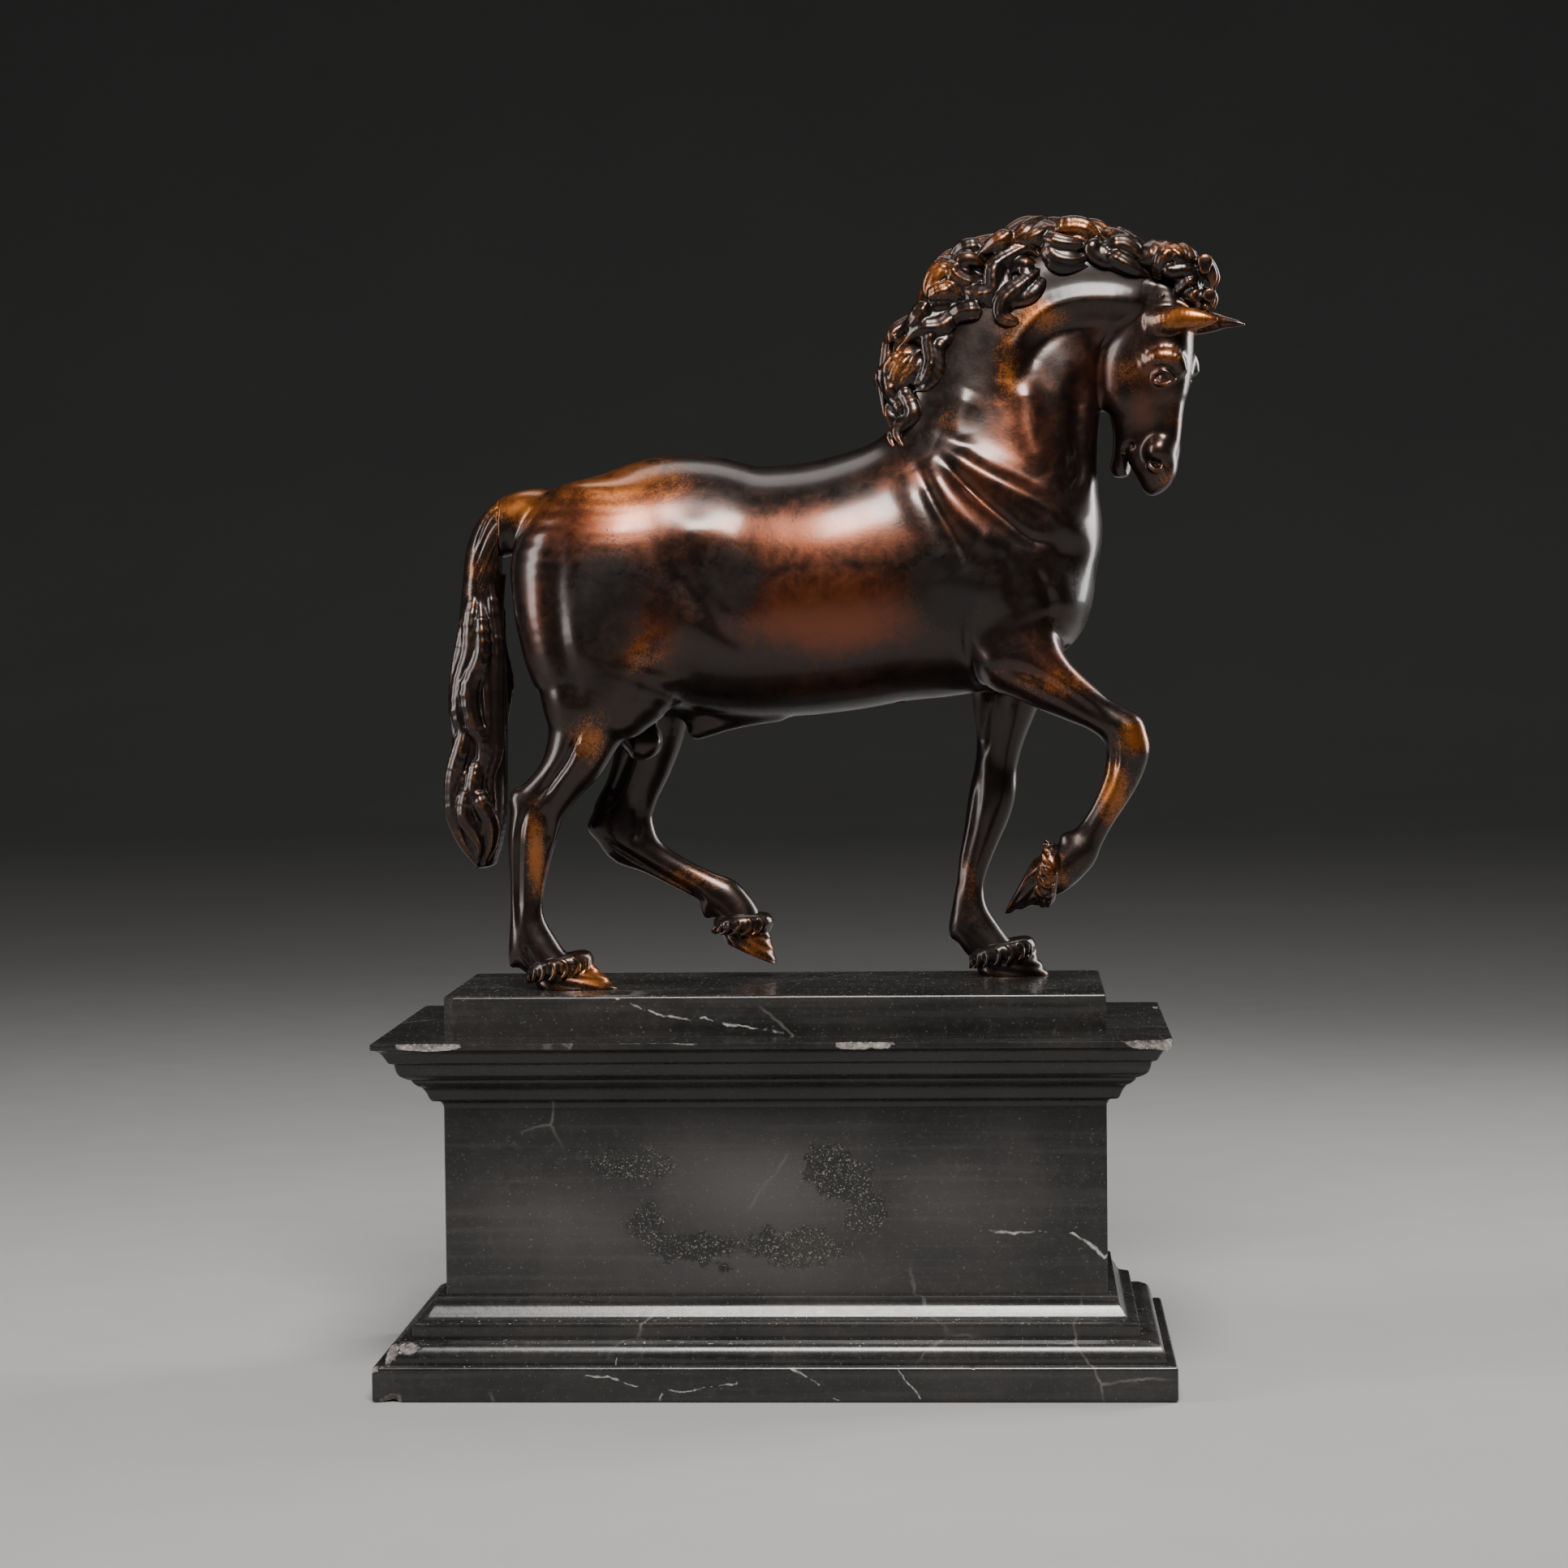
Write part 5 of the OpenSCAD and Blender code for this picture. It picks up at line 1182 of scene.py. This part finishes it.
tail = Clay((-112, -16, 30), (-81, 16, 158), 0.42)
model_tail(tail)
place, (x, y, z) = tail.window((-112, -16, 131), (-81, 16, 158))
tail.d[place] = np.maximum(tail.d[place], x - (SEAM_X - SEAM))
place, (x, y, z) = body.window((SEAM_X - 8, -20, 120), (SEAM_X + 8, 20, 170))
body.d[place] = np.maximum(body.d[place], (SEAM_X + SEAM) - x).astype(np.float32)

cast("bronze_body", body, "horse_casting", wear=0.6)
cast("bronze_head", head, "horse_casting", head_to_horse, wear=0.45)
cast("bronze_mane", mane, "horse_casting")
cast("bronze_forelock", forelock, "horse_casting")
cast("bronze_tail", tail, "tail_casting")
for count, hoof in enumerate(HOOVES, 1):
    cast(f"bronze_hoof_{count}", model_hoof(*hoof), "horse_casting")

FINISHES = {"tail_pin": plug_bronze, "core_plugs": plug_bronze, "felt_liner": felt, "tie_rod": iron,
            "tie_washers": iron, "tie_nuts": iron, "joint_dowels": iron}
for obj in list(bpy.context.scene.objects):
    if obj.type == "MESH" and "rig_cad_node" in obj and not obj.hide_render:
        finish = FINISHES.get(obj["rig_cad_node"], steel)
        for slot in obj.material_slots:
            slot.link = "OBJECT"
            slot.material = finish


# ---------------------------------------------------------------- studio

def soft_light(name, at, towards, size, power, tint=(1, 1, 1)):
    lamp = bpy.data.lights.new(name, "AREA")
    lamp.shape, lamp.size, lamp.size_y = "RECTANGLE", size[0], size[1]
    lamp.energy, lamp.color, lamp.spread = power, tint, math.radians(110)
    obj = bpy.data.objects.new(name, lamp)
    obj.location = at
    obj.rotation_euler = (Vector(towards) - Vector(at)).to_track_quat("-Z", "Y").to_euler()
    bpy.context.scene.collection.objects.link(obj)


def studio():
    """A pale paper sweep, four soft lights and a dim surround."""
    sweep = [(-1.6, 0.0), (3.0, 0.0)]
    for k in range(1, 13):
        a = math.pi / 2 * k / 12
        sweep.append((3.0 + 2.4 * math.sin(a), 2.4 - 2.4 * math.cos(a)))
    sweep.append((5.4, 6.0))
    verts = [(x, y, z) for x in (-5, 5) for y, z in sweep]
    n = len(sweep)
    mesh = bpy.data.meshes.new("floor")
    mesh.from_pydata(verts, [], [(i, n + i, n + i + 1, i + 1) for i in range(n - 1)])
    mesh.polygons.foreach_set("use_smooth", np.ones(n - 1, bool))
    floor = bpy.data.objects.new("floor", mesh)
    bpy.context.scene.collection.objects.link(floor)
    s = Shader("paper backdrop")
    tone = s.mix(s.noise(3, 4), (0.27, 0.264, 0.262), (0.32, 0.314, 0.312))
    mesh.materials.append(s.finish(Base_Color=tone, Roughness=s.ramp(s.noise(40, 3), 0.3, 0.7, 0.8, 0.95)))
    soft_light("key", (0.12, -0.95, 1.3), (0.02, 0, 0.22), (0.6, 0.5), 15.5, (1.0, 0.985, 0.965))
    soft_light("left", (-1.15, -0.35, 0.55), (0, 0, 0.2), (0.35, 1.0), 4.5, (0.97, 0.985, 1.0))
    soft_light("right", (1.0, 0.6, 0.55), (0, 0, 0.22), (0.4, 1.0), 6)
    soft_light("top", (0.0, 0.35, 1.25), (0, 0, 0.2), (0.8, 0.4), 1.2)
    world = bpy.data.worlds.new("studio")
    world.use_nodes = True
    world.node_tree.nodes["Background"].inputs["Color"].default_value = (0.045, 0.045, 0.0445, 1)
    world.node_tree.nodes["Background"].inputs["Strength"].default_value = 1.0
    bpy.context.scene.world = world


def camera():
    """A long lens at about the height of the belly, turned a little left and down."""
    data = bpy.data.cameras.new("camera")
    data.lens, data.sensor_width = 90.26, 36
    obj = bpy.data.objects.new("camera", data)
    yaw, pitch, roll = math.radians(3.072), math.radians(2.506), math.radians(0.6)
    ahead = Vector((-math.sin(yaw) * math.cos(pitch), math.cos(yaw) * math.cos(pitch), -math.sin(pitch)))
    right = Vector((math.cos(yaw), math.sin(yaw), 0))
    up = right.cross(ahead)
    right, up = right * math.cos(roll) - up * math.sin(roll), up * math.cos(roll) + right * math.sin(roll)
    frame3 = Matrix((right, up, -ahead)).transposed()
    obj.matrix_world = Matrix.Translation((0.0686, -1.24, 0.2395)) @ frame3.to_4x4()
    data.clip_start, data.clip_end = 0.05, 20
    bpy.context.scene.collection.objects.link(obj)
    bpy.context.scene.camera = obj


studio()
camera()
